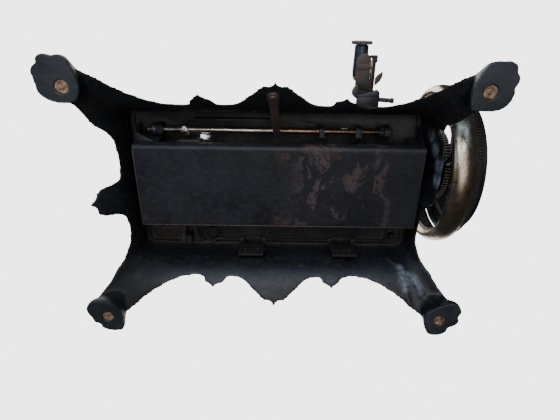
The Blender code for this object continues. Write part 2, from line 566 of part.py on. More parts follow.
face = prism(rounded(ay - 0.0180, ay + 0.0250, 0.1645, 0.2325, 0.0098), -0.1262, -0.1243, "x")
for z in (0.1695, 0.2275):
    face = union(face, turned([(0, 0.0), (0.0034, 0.0), (0.0034, 0.0012), (0.0026, 0.0018), (0, 0.0018)], (-0.1260, ay + 0.0035, z), (-1, 0, 0), 14))
part("face_plate", face, NICKEL)

# arm shaft with the pinion and the needle-bar crank
shaft = union(rod((-0.0930, ay, az), (0.2050, ay, az), 0.0044, 20), rod((-0.0970, ay, az), (-0.0925, ay, az), 0.0105, 24),
              rod((-0.0995, ay, az + 0.0070), (-0.0960, ay, az + 0.0070), 0.0018, 12))
part("arm_shaft", shaft, STEEL, pivot=(0, ay, az))


def gear(teeth, module, x0, x1, centre, bore, phase, tip=0.92, root=1.15, n_bore=48):
    y, z = centre
    r = module * teeth / 2
    pitch = 2 * math.pi / teeth
    pts = []
    for k in range(teeth):
        a = phase + pitch * k
        for da, rr in ((-0.315, r - root * module), (-0.105, r + tip * module), (0.105, r + tip * module), (0.315, r - root * module)):
            pts.append((y + rr * math.cos(a + da * pitch), z + rr * math.sin(a + da * pitch)))
    return minus(prism(pts, x0, x1, "x"), rod((x0 - 0.01, y, z), (x1 + 0.01, y, z), bore, n_bore))


# tooth of the big gear points up at the mesh, the pinion has a gap there
big = gear(GEAR_N, MODULE, 0.1986, 0.2034, WHEEL, 0.0660, math.pi / 2, n_bore=40)
small = gear(PINION_N, MODULE, 0.1984, 0.2036, (ay, az), 0.0047, -math.pi / 2 + math.pi / PINION_N, n_bore=20)
part("drive_gear", big, DARK, pivot=(0, *WHEEL))
part("pinion", small, STEEL, pivot=(0, ay, az))

# bearing stand for the hand wheel on the bed's right end
wy, wz = WHEEL
stand = union(prism([(wy - 0.0260, 0.0938), (wy + 0.0260, 0.0938), (wy + 0.0240, 0.0985), (wy + 0.0120, 0.1010), (wy + 0.0118, 0.1130), (wy - 0.0118, 0.1130), (wy - 0.0120, 0.1010), (wy - 0.0240, 0.0985)], 0.1385, 0.1515, "x"),
              rod((0.1375, wy, wz), (0.1530, wy, wz), 0.0120, 24))
stand = minus(stand, rod((0.12, wy, wz), (0.17, wy, wz), 0.0052, 20))
part("wheel_stand", stand, JAPAN)

axle = union(rod((0.1370, wy, wz), (0.2215, wy, wz), 0.0049, 20), turned([(0, 0), (0.0085, 0.0), (0.0085, 0.0048), (0.0060, 0.0060), (0, 0.0060)], (0.2188, wy, wz), (1, 0, 0), 6),
             rod((0.1340, wy, wz), (0.1372, wy, wz), 0.0085, 20))
part("wheel_axle", axle, STEEL, pivot=(0, wy, wz))
# small toothed ring on the wheel's boss, in the plane of the rim
part("hub_gear", gear(70, 0.0012, 0.1831, 0.1890, WHEEL, 0.0151, 0.0, n_bore=32), DARK, pivot=(0, wy, wz))

rim_profile = [(0.0822 + 0.0069 * math.sin(2 * math.pi * i / 8), 0.0124 * math.cos(2 * math.pi * i / 8)) for i in range(8)]
part("handwheel_rim", turned(rim_profile, (0.1851, wy, wz), (1, 0, 0), 40), NICKEL, pivot=(0, wy, wz), angle=60)


def spoke_wheel(x0, x1, r_hub, r_out, count, width, curl, phase, hub_x0, hub_x1):
    me = rod((hub_x0, wy, wz), (hub_x1, wy, wz), r_hub, 24)
    for k in range(count):
        a0 = phase + 2 * math.pi * k / count
        left, right = [], []
        steps = 4
        for i in range(steps + 1):
            t = i / steps
            r = r_hub * 0.6 + (r_out - r_hub * 0.6) * t
            a = a0 + curl * math.sin(math.pi * t)
            w = width * (1.15 - 0.45 * math.sin(math.pi * t))
            da = w / 2 / r
            left.append((wy + r * math.cos(a - da), wz + r * math.sin(a - da)))
            right.append((wy + r * math.cos(a + da), wz + r * math.sin(a + da)))
        me = union(me, prism(left + right[::-1], x0, x1, "x"))
    return me


spider = spoke_wheel(0.1728, 0.1768, 0.0150, 0.0748, 5, 0.0085, 0.26, math.radians(-52), 0.1665, 0.1965)
spider = union(spider, turned([(0, 0), (0.0300, 0.0), (0.0330, 0.0014), (0.0345, 0.0045), (0.0345, 0.0146), (0, 0.0146)], (0.1685, wy, wz), (1, 0, 0), 32))
spider = minus(spider, rod((0.15, wy, wz), (0.22, wy, wz), 0.0052, 20))
part("wheel_spider", spider, JAPAN, pivot=(0, wy, wz))

pulley = turned([(0.0052, -0.0060), (0.0160, -0.0060), (0.0170, -0.0020), (0.0600, -0.0016), (0.0640, -0.0040), (0.0730, -0.0040), (0.0738, -0.0030), (0.0715, 0.0), (0.0738, 0.0030),
                 (0.0730, 0.0040), (0.0640, 0.0040), (0.0600, 0.0016), (0.0170, 0.0020), (0.0160, 0.0060), (0.0052, 0.0060)], (0.2074, wy, wz), (1, 0, 0), 32)
for k in range(5):
    a = 2 * math.pi * k / 5 + 0.90
    pulley = minus(pulley, rod((0.19, wy + 0.0395 * math.cos(a), wz + 0.0395 * math.sin(a)), (0.22, wy + 0.0395 * math.cos(a), wz + 0.0395 * math.sin(a)), 0.0160, 12))
part("belt_wheel", pulley, JAPAN, pivot=(0, wy, wz))

ch = (wy, wz + CRANK_R)
crank_arm = union(rod((0.2138, *WHEEL), (0.2185, *WHEEL), 0.0110, 24), rod((0.2138, *ch), (0.2185, *ch), 0.0070, 20),
                  prism([(wy - 0.0078, wz + 0.004), (wy + 0.0078, wz + 0.004), (wy + 0.0050, wz + CRANK_R), (wy - 0.0050, wz + CRANK_R)], 0.2142, 0.2181, "x"))
crank_arm = minus(crank_arm, rod((0.20, *WHEEL), (0.23, *WHEEL), 0.0052, 20))
crank_arm = union(crank_arm, rod((0.2150, *ch), (0.2560, *ch), 0.0024, 14), rod((0.2545, *ch), (0.2568, *ch), 0.0042, 14))
part("crank_arm", crank_arm, NICKEL, pivot=(0, wy, wz))
grip = turned([(0.0028, 0.0), (0.0062, 0.0), (0.0070, 0.0020), (0.0062, 0.0050), (0.0085, 0.0130), (0.0104, 0.0220), (0.0100, 0.0290), (0.0076, 0.0340), (0.0028, 0.0348)],
              (0.2190, *ch), (1, 0, 0), 16)
part("crank_handle", grip, WOOD, pivot=(0, *ch))

# ------------------------------------------------------------ needle and presser
nx = NEEDLE_X
part("needle_bar", rod((nx, ay, 0.1240), (nx, ay, 0.2500), 0.0029, 16), NICKEL, pivot=(nx, ay, 0.1240))
part("needle_clamp", minus(union(rod((nx, ay, 0.1245), (nx, ay, 0.1325), 0.0050, 16), rod((nx, ay, 0.1285), (nx - 0.0110, ay, 0.1285), 0.0022, 12)), rod((nx, ay, 0.11), (nx, ay, 0.15), 0.0031, 16)), STEEL)
part("needle", turned([(0, 0.1010), (0.0005, 0.1040), (0.0006, 0.1140), (0.0010, 0.1160), (0.0010, 0.1237), (0, 0.1237)], (nx, ay, 0), (0, 0, 1), 10), STEEL)
part("presser_bar", rod((nx, PRESS_Y, 0.1120), (nx, PRESS_Y, 0.2480), 0.0029, 16), NICKEL, pivot=(nx, PRESS_Y, 0.112))
foot = union(block(nx - 0.0048, nx + 0.0048, PRESS_Y - 0.0040, PRESS_Y + 0.0046, 0.1040, 0.1240),
             prism([(ay - 0.0150, 0.0975), (ay - 0.0130, 0.0945), (PRESS_Y + 0.0050, 0.0945), (PRESS_Y + 0.0046, 0.1060), (PRESS_Y - 0.0040, 0.1060), (PRESS_Y - 0.0060, 0.0975)], nx - 0.0060, nx + 0.0060, "x"))
foot = minus(foot, rod((nx, PRESS_Y, 0.1116), (nx, PRESS_Y, 0.13), 0.0031, 16), rod((nx, ay, 0.09), (nx, ay, 0.11), 0.0030, 12), block(nx - 0.0014, nx + 0.0014, ay - 0.02, ay, 0.09, 0.11))
part("presser_foot", foot, NICKEL)
part("presser_lifter", union(rod((nx - 0.0035, 0.0150, 0.1990), (nx + 0.0035, 0.0150, 0.1990), 0.0042, 16),
                             prism([(0.0140, 0.1955), (0.0290, 0.1850), (0.0315, 0.1885), (0.0160, 0.2025)], nx - 0.0018, nx + 0.0018, "x")), STEEL, pivot=(nx, 0.0150, 0.1990))

# thread take-up, tension and spool pin
part("take_up_lever", union(block(-0.1190, -0.1170, ay - 0.0260, ay - 0.0120, 0.2060, 0.2085) , rod((-0.1196, ay - 0.0265, 0.2072), (-0.1164, ay - 0.0265, 0.2072), 0.0030, 12)), NICKEL)
SP = (0.0150, ay)
part("spool_pin", turned([(0, 0.0), (0.0052, 0.0), (0.0052, 0.0025), (0.0022, 0.0040), (0.0020, 0.0420), (0.0010, 0.0450), (0, 0.0450)], (SP[0], SP[1], az + 0.0192), (0, 0, 1), 10), STEEL)
part("tension_disc", turned([(0, 0.0), (0.0085, 0.0), (0.0085, 0.0012), (0.0030, 0.0020), (0.0030, 0.0050), (0, 0.0050)], (-0.0600, ay - 0.0160, az), (0, -1, 0), 24), NICKEL)
part("tension_nut", turned([(0, 0.0), (0.0052, 0.0), (0.0058, 0.0010), (0.0058, 0.0060), (0.0045, 0.0070), (0, 0.0070)], (-0.0600, ay - 0.0215, az), (0, -1, 0), 12), NICKEL, pivot=(-0.06, ay - 0.0215, az))

# stitch length screw on the bed, right of the arm
part("stitch_screw", turned([(0, 0.0), (0.0032, 0.0), (0.0032, 0.0060), (0.0075, 0.0070), (0.0080, 0.0085), (0.0080, 0.0120), (0.0060, 0.0135), (0, 0.0135)], (0.1220, 0.0500, BED_TOP + GAP), (0, 0, 1), 20), NICKEL, pivot=(0.1220, 0.0500, 0.0938))

# ------------------------------------------------------------ bobbin winder at the front right
WY0 = -0.0835
bracket = union(block(0.0870, 0.1090, -0.0940, -0.0700, 0.0938, 0.0975), rod((0.0860, -0.0880, 0.1010), (0.1080, -0.0905, 0.1010), 0.0040, 10),
                block(0.0880, 0.1080, -0.0930, -0.0850, 0.0960, 0.1000))
bracket = union(bracket, rod((0.1060, -0.0895, 0.1000), (0.1245, -0.0870, 0.1000), 0.0021, 12))
part("winder_bracket", bracket, DARK)
WP = (0.0, -0.0925, 0.1085)
plate = prism([(0.0840, -0.0950), (0.0985, -0.0950), (0.0985, -0.1290)] + [(0.09125 + 0.00725 * math.cos(math.radians(t)), -0.1290 - 0.0078 * math.sin(math.radians(t))) for t in (30, 60, 90, 120, 150)] + [(0.0840, -0.1290)], 0.0990, 0.1008, "z")
frame_w = union(plate, block(0.0850, 0.0975, -0.0985, -0.0950, 0.1000, 0.1130))
frame_w = union(frame_w, block(0.0815, 0.0935, -0.1130, -0.1095, 0.0995, 0.1130))
frame_w = minus(frame_w, rod((WIND_X, -0.20, WIND_Z), (WIND_X, -0.06, WIND_Z), 0.0026, 14))
part("winder_frame", frame_w, RUSTY, pivot=(0.0912, -0.0950, 0.1000))
spin = union(turned([(0, 0.0), (0.0024, 0.0), (0.0024, 0.0195), (0.0062, 0.0200), (0.0064, 0.0330), (0.0062, 0.0505), (0.0, 0.0505)], (WIND_X, -0.0960 + 0.0015, WIND_Z), (0, -1, 0), 20),)
disc = []
for k in range(26):
    for da, rr in ((-0.25, 0.0092), (0.0, 0.0105)):
        a = 2 * math.pi * (k + da) / 26
        disc.append((WIND_X + rr * math.cos(a), WIND_Z + rr * math.sin(a)))
spin = union(spin, prism(disc, -0.1478, -0.1447, "y"))
part("winder_spindle", spin, BLUED, pivot=(WIND_X, -0.0945, WIND_Z))
rodw = union(rod((0.1035, -0.0975, 0.1000), (0.1035, -0.1290, 0.1000), 0.0011, 10), block(0.0985 + 0.0004, 0.1045, -0.1310, -0.1285, 0.0985, 0.1015), block(0.1032, 0.1052, -0.1310, -0.1250, 0.0985, 0.1015))
part("winder_rod", rodw, DARK)
part("winder_lever", prism([(0.1050, -0.1118), (0.1090, -0.1168), (0.1112, -0.1160), (0.1110, -0.1110), (0.1092, -0.1082), (0.1050, -0.1046)], 0.0985, 0.1003, "z"), RUSTY, pivot=(0.1052, -0.1050, 0.0994))
part("winder_spring", swept([(0.0832, -0.1050, 0.0960), (0.0814, -0.1020, 0.0960), (0.0806, -0.0985, 0.0960), (0.0814, -0.0955, 0.0960), (0.0836, -0.0940, 0.0960)], [flat_bar(0.0028, 0.0055)] * 5, up=(0, 0, 1)), DARK)

total = sum(COUNT.values())
for k, c in sorted(COUNT.items(), key=lambda kv: -kv[1])[:12]:
    print("tri", k, c)
print("objects", len(COUNT), "triangles", total)
lo = [min(min(v.co[i] + o.location[i] for v in o.data.vertices) for o in bpy.data.objects) for i in range(3)]
hi = [max(max(v.co[i] + o.location[i] for v in o.data.vertices) for o in bpy.data.objects) for i in range(3)]
print("box", [round(a, 5) for a in lo], [round(a, 5) for a in hi], "centre", round((lo[0] + hi[0]) / 2, 5), round((lo[1] + hi[1]) / 2, 5))
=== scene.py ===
import json
import math
import bmesh
import bpy
from mathutils import Matrix, Vector, geometry, noise


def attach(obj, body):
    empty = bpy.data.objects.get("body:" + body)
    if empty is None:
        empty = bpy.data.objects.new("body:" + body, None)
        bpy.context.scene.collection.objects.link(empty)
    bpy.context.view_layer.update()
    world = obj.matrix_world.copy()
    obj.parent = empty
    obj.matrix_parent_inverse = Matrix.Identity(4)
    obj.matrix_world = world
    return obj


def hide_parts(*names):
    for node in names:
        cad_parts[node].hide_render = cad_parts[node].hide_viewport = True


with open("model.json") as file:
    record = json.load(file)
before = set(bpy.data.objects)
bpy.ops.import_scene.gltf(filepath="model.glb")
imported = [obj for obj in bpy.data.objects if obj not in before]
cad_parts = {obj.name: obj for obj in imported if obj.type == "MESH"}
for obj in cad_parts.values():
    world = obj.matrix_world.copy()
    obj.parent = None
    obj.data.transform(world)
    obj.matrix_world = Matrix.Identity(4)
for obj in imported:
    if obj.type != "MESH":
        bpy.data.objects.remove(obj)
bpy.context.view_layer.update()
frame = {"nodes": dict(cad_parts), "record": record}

N = frame["nodes"]
SHIFT = Vector((-0.02822, 0.00265, 0.0))   # machine frame to part frame, as in part.py

# ------------------------------------------------------------ camera
T, ROLL = 0.4553, 0.0141
r0 = Vector((1, 0, 0))
d0 = Vector((0, math.cos(T), -math.sin(T)))
fw = Vector((0, math.sin(T), math.cos(T)))
cr, sr = math.cos(ROLL), math.sin(ROLL)
right = r0 * cr - d0 * sr
down = r0 * sr + d0 * cr
cam_data = bpy.data.cameras.new("camera")
cam_data.lens, cam_data.sensor_width = 27.0, 36.0
cam_data.clip_start, cam_data.clip_end = 0.01, 30.0
cam = bpy.data.objects.new("camera", cam_data)
rot = Matrix((right, -down, -fw)).transposed()
cam.matrix_world = Matrix.Translation(Vector((0.0056, -0.1805, -0.3554)) + SHIFT) @ rot.to_4x4()
bpy.context.scene.collection.objects.link(cam)
bpy.context.scene.camera = cam


# ------------------------------------------------------------ materials
class Mat:
    """A small builder of node materials in object space, which here is metres."""

    def __init__(self, name):
        self.m = bpy.data.materials.new(name)
        self.m.use_nodes = True
        self.t = self.m.node_tree
        self.p = self.t.nodes["Principled BSDF"]
        tc = self.t.nodes.new("ShaderNodeTexCoord")
        self.xyz = tc.outputs["Object"]

    def link(self, a, b):
        self.t.links.new(a, b)

    def map(self, scale=(1, 1, 1), rot=(0, 0, 0), loc=(0, 0, 0)):
        n = self.t.nodes.new("ShaderNodeMapping")
        n.inputs["Scale"].default_value = scale
        n.inputs["Rotation"].default_value = rot
        n.inputs["Location"].default_value = loc
        self.link(self.xyz, n.inputs["Vector"])
        return n.outputs["Vector"]

    def noise(self, scale, detail=6.0, rough=0.55, vec=None, dist=0.0):
        n = self.t.nodes.new("ShaderNodeTexNoise")
        n.inputs["Scale"].default_value = scale
        n.inputs["Detail"].default_value = detail
        n.inputs["Roughness"].default_value = rough
        n.inputs["Distortion"].default_value = dist
        self.link(vec or self.xyz, n.inputs["Vector"])
        return n.outputs["Fac"]

    def voronoi(self, scale, vec=None, feature="F1"):
        n = self.t.nodes.new("ShaderNodeTexVoronoi")
        n.feature = feature
        n.inputs["Scale"].default_value = scale
        self.link(vec or self.xyz, n.inputs["Vector"])
        return n.outputs["Distance"]

    def ramp(self, fac, stops, interp="LINEAR"):
        n = self.t.nodes.new("ShaderNodeValToRGB")
        e = n.color_ramp
        e.interpolation = interp
        while len(e.elements) < len(stops):
            e.elements.new(0.5)
        for el, (pos, col) in zip(e.elements, stops):
            el.position = pos
            el.color = (*col, 1) if isinstance(col, tuple) else (col, col, col, 1)
        self.link(fac, n.inputs["Fac"])
        return n.outputs["Color"]

    def mix(self, fac, a, b):
        n = self.t.nodes.new("ShaderNodeMix")
        n.data_type = "RGBA"
        for v, i in ((fac, 0), (a, 6), (b, 7)):
            if isinstance(v, (int, float)):
                n.inputs[i].default_value = v if i == 0 else (v, v, v, 1)
            elif isinstance(v, tuple):
                n.inputs[i].default_value = (*v, 1)
            else:
                self.link(v, n.inputs[i])
        return n.outputs[2]

    def math(self, op, a, b=0.0, clamp=False):
        n = self.t.nodes.new("ShaderNodeMath")
        n.operation = op
        n.use_clamp = clamp
        for v, i in ((a, 0), (b, 1)):
            if isinstance(v, (int, float)):
                n.inputs[i].default_value = v
            else:
                self.link(v, n.inputs[i])
        return n.outputs[0]

    def spot(self, centre, radius, soft=0.5):
        """1 inside a ball round a point, 0 outside."""
        n = self.t.nodes.new("ShaderNodeVectorMath")
        n.operation = "DISTANCE"
        self.link(self.xyz, n.inputs[0])
        n.inputs[1].default_value = Vector(centre)
        k = self.t.nodes.new("ShaderNodeMapRange")
        k.interpolation_type = "SMOOTHSTEP"
        k.inputs["From Min"].default_value = radius
        k.inputs["From Max"].default_value = radius * (1 - soft)
        self.link(n.outputs["Value"], k.inputs["Value"])
        return k.outputs["Result"]

    def axis(self, which, lo, hi):
        """A smooth step from 0 at lo to 1 at hi along an axis."""
        s = self.t.nodes.new("ShaderNodeSeparateXYZ")
        self.link(self.xyz, s.inputs[0])
        k = self.t.nodes.new("ShaderNodeMapRange")
        k.interpolation_type = "SMOOTHSTEP"
        k.inputs["From Min"].default_value = lo
        k.inputs["From Max"].default_value = hi
        self.link(s.outputs["XYZ".index(which)], k.inputs["Value"])
        return k.outputs["Result"]

    def bump(self, height, distance, strength=1.0, under=None):
        n = self.t.nodes.new("ShaderNodeBump")
        n.inputs["Strength"].default_value = strength
        n.inputs["Distance"].default_value = distance
        self.link(height, n.inputs["Height"])
        if under is not None:
            self.link(under, n.inputs["Normal"])
        return n.outputs["Normal"]

    def done(self, color=None, rough=None, metal=None, normal=None):
        for v, s in ((color, "Base Color"), (rough, "Roughness"), (metal, "Metallic")):
            if v is None:
                continue
            if isinstance(v, (int, float)):
                self.p.inputs[s].default_value = v
            elif isinstance(v, tuple):
                self.p.inputs[s].default_value = (*v, 1)
            else:
                self.link(v, self.p.inputs[s])
        if normal is not None:
            self.link(normal, self.p.inputs["Normal"])
        return self.m


def at(x, y, z):
    return Vector((x, y, z)) + SHIFT


def japan(name, base=(0.0065, 0.0066, 0.0085), haze=(0.021, 0.022, 0.028), rust=(0.075, 0.034, 0.022), rust_at=0.70, gloss=0.38, coat=0.22, coat_rough=0.32, sheen_spots=()):
    """Old black japanning on cast iron: dusty haze, brown patches where the japan wore through, cast grain. Given
    spots, it also gets painted highlights and a painted shade spot, and lighter bluish soles that are partly bare iron
    and partly a painted sky reflection.
    """
    k = Mat(name)
    cloud = k.noise(26, 7, 0.62)
    fine = k.noise(210, 5, 0.6)
    grain = k.noise(1500, 3, 0.5)
    colour = k.mix(k.ramp(cloud, [(0.40, 0.0), (0.72, 1.0)]), base, haze)
    colour = k.mix(k.ramp(fine, [(0.52, 0.0), (0.78, 0.55)]), colour, (0.040, 0.037, 0.036))
    mask = k.math("MULTIPLY", k.ramp(k.noise(46, 8, 0.68, dist=0.6), [(rust_at - 0.06, 0.0), (rust_at, 1.0)]), k.ramp(fine, [(0.35, 0.0), (0.6, 1.0)]))
    colour = k.mix(mask, colour, rust)
    rough = k.mix(k.ramp(fine, [(0.3, 0.0), (0.75, 1.0)]), gloss, gloss + 0.25)
    rough = k.mix(mask, rough, 0.85)
    if sheen_spots:
        # the soles are mixed to a lighter blue-grey: partly bare iron polished by wear, partly a painted sky reflection
        sole = k.math("MULTIPLY", k.axis("Z", 0.0040, 0.0008), 0.8)
        colour = k.mix(sole, colour, k.mix(k.ramp(cloud, [(0.40, 0.0), (0.65, 1.0)]), (0.030, 0.036, 0.045), (0.064, 0.066, 0.072)))
        # painted highlights: a bright blue-grey sheen painted on the right skirt lobe and as streaks down the right
        # rear leg
        for group, tint in ((sheen_spots[:4], (0.38, 0.43, 0.52)), (sheen_spots[4:], (0.220, 0.250, 0.310))):
            painted_sheen = None
            for c, r in group:
                one = k.spot(c, r, 0.9)
                painted_sheen = one if painted_sheen is None else k.math("MAXIMUM", painted_sheen, one)
            painted_sheen = k.math("MULTIPLY", painted_sheen, k.ramp(k.noise(120, 6, 0.65), [(0.36, 0.15), (0.62, 1.0)]))
            colour = k.mix(painted_sheen, colour, tint)
            rough = k.mix(painted_sheen, rough, 0.34)
        # painted shade: a near-black, rough spot on the left rear leg that darkens it and takes out its highlight
        painted_shade = k.spot((-0.1880, 0.1092, 0.0235), 0.055, 0.8)
        colour = k.mix(k.math("MULTIPLY", painted_shade, 0.7), colour, (0.004, 0.004, 0.005))
        rough = k.mix(painted_shade, rough, 0.85)
    nrm = k.bump(k.noise(70, 4, 0.5), 0.0010, 0.6)
    nrm = k.bump(grain, 0.00018, 0.8, under=nrm)
    nrm = k.bump(fine, 0.00035, 0.7, under=nrm)
    k.p.inputs["Coat Weight"].default_value = coat
    k.p.inputs["Coat Roughness"].default_value = coat_rough
    return k.done(colour, rough, 0.0, nrm)


def metal(name, base, dark, tarnish, t_at=0.55, rough=(0.22, 0.5), scale=60, streak=(1, 1, 1), metallic=1.0, bump=0.0002):
    """Plated or bright metal with brown-yellow tarnish, fine pits and scuff marks."""
    k = Mat(name)
    v = k.map(streak)
    a = k.noise(scale, 7, 0.6, vec=v)
    b = k.noise(scale * 7, 5, 0.6)
    colour = k.mix(k.ramp(a, [(t_at - 0.12, 0.0), (t_at + 0.10, 1.0)]), base, tarnish)
    colour = k.mix(k.ramp(b, [(0.62, 0.0), (0.74, 0.85)]), colour, dark)
    r = k.mix(k.ramp(b, [(0.35, 0.0), (0.75, 1.0)]), rough[0], rough[1])
    nrm = k.bump(b, bump, 0.7)
    nrm = k.bump(k.noise(1600, 2, 0.5), bump * 0.5, 0.6, under=nrm)
    return k.done(colour, r, metallic, nrm)


MATS = {
    "japan": japan("japanning"),
    "nickel": metal("nickel", (0.74, 0.70, 0.62), (0.16, 0.10, 0.06), (0.50, 0.40, 0.27), 0.60, (0.24, 0.46), 40),
    "steel": metal("steel", (0.44, 0.41, 0.38), (0.07, 0.05, 0.04), (0.24, 0.17, 0.12), 0.56, (0.28, 0.55), 90, bump=0.0003),
    "brown": metal("brown_steel", (0.12, 0.070, 0.050), (0.05, 0.035, 0.03), (0.17, 0.085, 0.055), 0.52, (0.50, 0.75), 120, metallic=0.35, bump=0.0004),
    "dark": metal("dark_steel", (0.040, 0.040, 0.045), (0.015, 0.014, 0.014), (0.075, 0.055, 0.045), 0.56, (0.36, 0.62), 110, metallic=0.5, bump=0.0004),
    "blued": metal("blued_steel", (0.075, 0.095, 0.135), (0.03, 0.03, 0.035), (0.10, 0.085, 0.075), 0.60, (0.30, 0.5), 120, metallic=0.7, bump=0.0002),
}


def wood():
    k = Mat("turned_wood")
    v = k.map((18, 220, 220))
    g = k.noise(6, 6, 0.65, vec=v, dist=0.8)
    colour = k.ramp(g, [(0.30, (0.060, 0.022, 0.010)), (0.52, (0.165, 0.068, 0.028)), (0.75, (0.26, 0.115, 0.05))])
    rough = k.mix(g, 0.28, 0.45)
    k.p.inputs["Coat Weight"].default_value = 0.4
    k.p.inputs["Coat Roughness"].default_value = 0.2
    return k.done(colour, rough, 0.0, k.bump(g, 0.0002, 0.5))


def plug():
    k = Mat("plug")
    a = k.noise(230, 6, 0.6)
    c = k.voronoi(420)
    colour = k.ramp(a, [(0.32, (0.10, 0.045, 0.025)), (0.5, (0.34, 0.19, 0.11)), (0.68, (0.55, 0.40, 0.28))])
    nrm = k.bump(a, 0.0010, 0.9, under=k.bump(c, 0.0006, 0.6))
    return k.done(colour, 0.85, 0.0, nrm)


MATS["wood"] = wood()
MATS["plug"] = plug()


def teeth_metal():
    """Steel gear teeth: a painted highlight makes the tips bright and painted shade makes the roots near black."""
    k = Mat("hub_teeth")
    c = at(0.0, -0.0151, 0.1100)
    n = k.t.nodes.new("ShaderNodeVectorMath")
    n.operation = "MULTIPLY"
    k.link(k.xyz, n.inputs[0])
    n.inputs[1].default_value = (0.0, 1.0, 1.0)
    d = k.t.nodes.new("ShaderNodeVectorMath")
    d.operation = "DISTANCE"
    k.link(n.outputs["Vector"], d.inputs[0])
    d.inputs[1].default_value = Vector((0.0, c.y, c.z))
    tip = k.ramp(k.math("MULTIPLY", d.outputs["Value"], 10.0), [(0.378, 0.0), (0.389, 1.0)])
    a = k.noise(160, 5, 0.6)
    colour = k.mix(k.ramp(a, [(0.40, 0.0), (0.65, 1.0)]), (0.90, 0.83, 0.76), (0.58, 0.46, 0.38))
    # painted shade: near black towards the tooth roots, in the gaps between teeth; the bright tips carry a painted
    # highlight
    colour = k.mix(tip, (0.010, 0.009, 0.008), colour)
    return k.done(colour, k.mix(tip, 0.7, 0.4), 0.35, k.bump(a, 0.0001, 0.6))


def plate_metal():
    """Slide and needle plates: polished on top, dark and gummy underneath."""
    k = Mat("plate_steel")
    a = k.noise(70, 6, 0.6)
    top = k.axis("Z", at(0, 0, 0.0931).z, at(0, 0, 0.0935).z)
    colour = k.mix(k.ramp(a, [(0.42, 0.0), (0.62, 1.0)]), (0.70, 0.68, 0.64), (0.42, 0.36, 0.30))
    under = k.mix(k.ramp(a, [(0.40, 0.0), (0.66, 1.0)]), (0.012, 0.011, 0.011), (0.045, 0.036, 0.032))
    colour = k.mix(top, under, colour)
    rough = k.mix(top, 0.6, 0.28)
    return k.done(colour, rough, top, k.bump(k.noise(500, 4, 0.6), 0.0001, 0.6))


def shaft_metal():
    """The feed rock shaft: bright at the left, browned towards the right."""
    k = Mat("rock_shaft")
    a = k.noise(55, 7, 0.6, vec=k.map((1, 4, 4)))
    b = k.noise(380, 5, 0.6)
    side = k.axis("X", at(-0.012, 0, 0).x, at(0.010, 0, 0).x)
    colour = k.mix(side, (0.86, 0.76, 0.66), (0.46, 0.27, 0.17))
    colour = k.mix(k.ramp(a, [(0.44, 0.0), (0.64, 1.0)]), colour, (0.24, 0.14, 0.095))
    colour = k.mix(k.ramp(b, [(0.62, 0.0), (0.74, 0.85)]), colour, (0.05, 0.03, 0.02))
    rough = k.mix(k.ramp(b, [(0.35, 0.0), (0.75, 1.0)]), 0.26, 0.5)
    return k.done(colour, rough, 1.0, k.bump(b, 0.0002, 0.7))


def box_black():
    """The works box: blue-black paint, hazed, peeled to brown iron at the right, stained by rust, with painted shade
    darkening it towards the right end.
    """
    k = Mat("box_black")
    cloud = k.noise(20, 7, 0.6)
    fine = k.noise(170, 6, 0.65)
    specks = k.noise(520, 4, 0.6)
    colour = k.mix(k.ramp(cloud, [(0.35, 0.0), (0.70, 1.0)]), (0.0115, 0.0130, 0.0185), (0.034, 0.035, 0.043))
    colour = k.mix(k.ramp(fine, [(0.50, 0.0), (0.80, 0.7)]), colour, (0.058, 0.051, 0.051))
    streak = k.noise(46, 7, 0.68, vec=k.map((1.0, 0.55, 1.0), (0, 0, 0.5)), dist=0.9)
    zone = k.math("MULTIPLY", k.axis("X", at(0.005, 0, 0).x, at(0.045, 0, 0).x), k.axis("X", at(0.135, 0, 0).x, at(0.105, 0, 0).x))
    peel = k.math("MULTIPLY", k.ramp(streak, [(0.512, 0.0), (0.55, 1.0)]), zone)
    peel = k.math("MULTIPLY", peel, k.ramp(fine, [(0.36, 0.0), (0.52, 1.0)]))
    colour = k.mix(k.math("MULTIPLY", peel, 0.90), colour, (0.155, 0.098, 0.096))
    stain = None
    for c, r in (((0.0110, -0.043, 0.047), 0.016), ((0.0075, 0.0290, 0.047), 0.015), ((0.060, -0.050, 0.047), 0.016), ((-0.140, 0.028, 0.048), 0.008), ((0.035, -0.052, 0.049), 0.012)):
        s = k.spot(at(*c), r, 0.9)
        stain = s if stain is None else k.math("MAXIMUM", stain, s)
    stain = k.math("MULTIPLY", stain, k.ramp(k.noise(130, 6, 0.65), [(0.42, 0.0), (0.60, 1.0)]))
    colour = k.mix(k.math("MULTIPLY", stain, 0.55), colour, (0.17, 0.080, 0.045))
    colour = k.mix(k.ramp(specks, [(0.70, 0.0), (0.76, 0.9)]), colour, (0.20, 0.16, 0.14))
    # painted shade: the box colour darkens towards its right end
    painted_shade_right = k.math("MULTIPLY", k.axis("X", at(-0.03, 0, 0).x, at(0.13, 0, 0).x), 0.42)
    colour = k.mix(painted_shade_right, colour, (0.006, 0.005, 0.006))
    rough = k.mix(k.ramp(fine, [(0.3, 0.0), (0.7, 1.0)]), 0.40, 0.62)
    rough = k.mix(peel, rough, 0.75)
    nrm = k.bump(k.noise(24, 3, 0.5), 0.0012, 0.5)
    nrm = k.bump(k.math("SUBTRACT", fine, k.math("MULTIPLY", peel, 0.25)), 0.0005, 0.8, under=nrm)
    return k.done(colour, rough, 0.0, nrm)


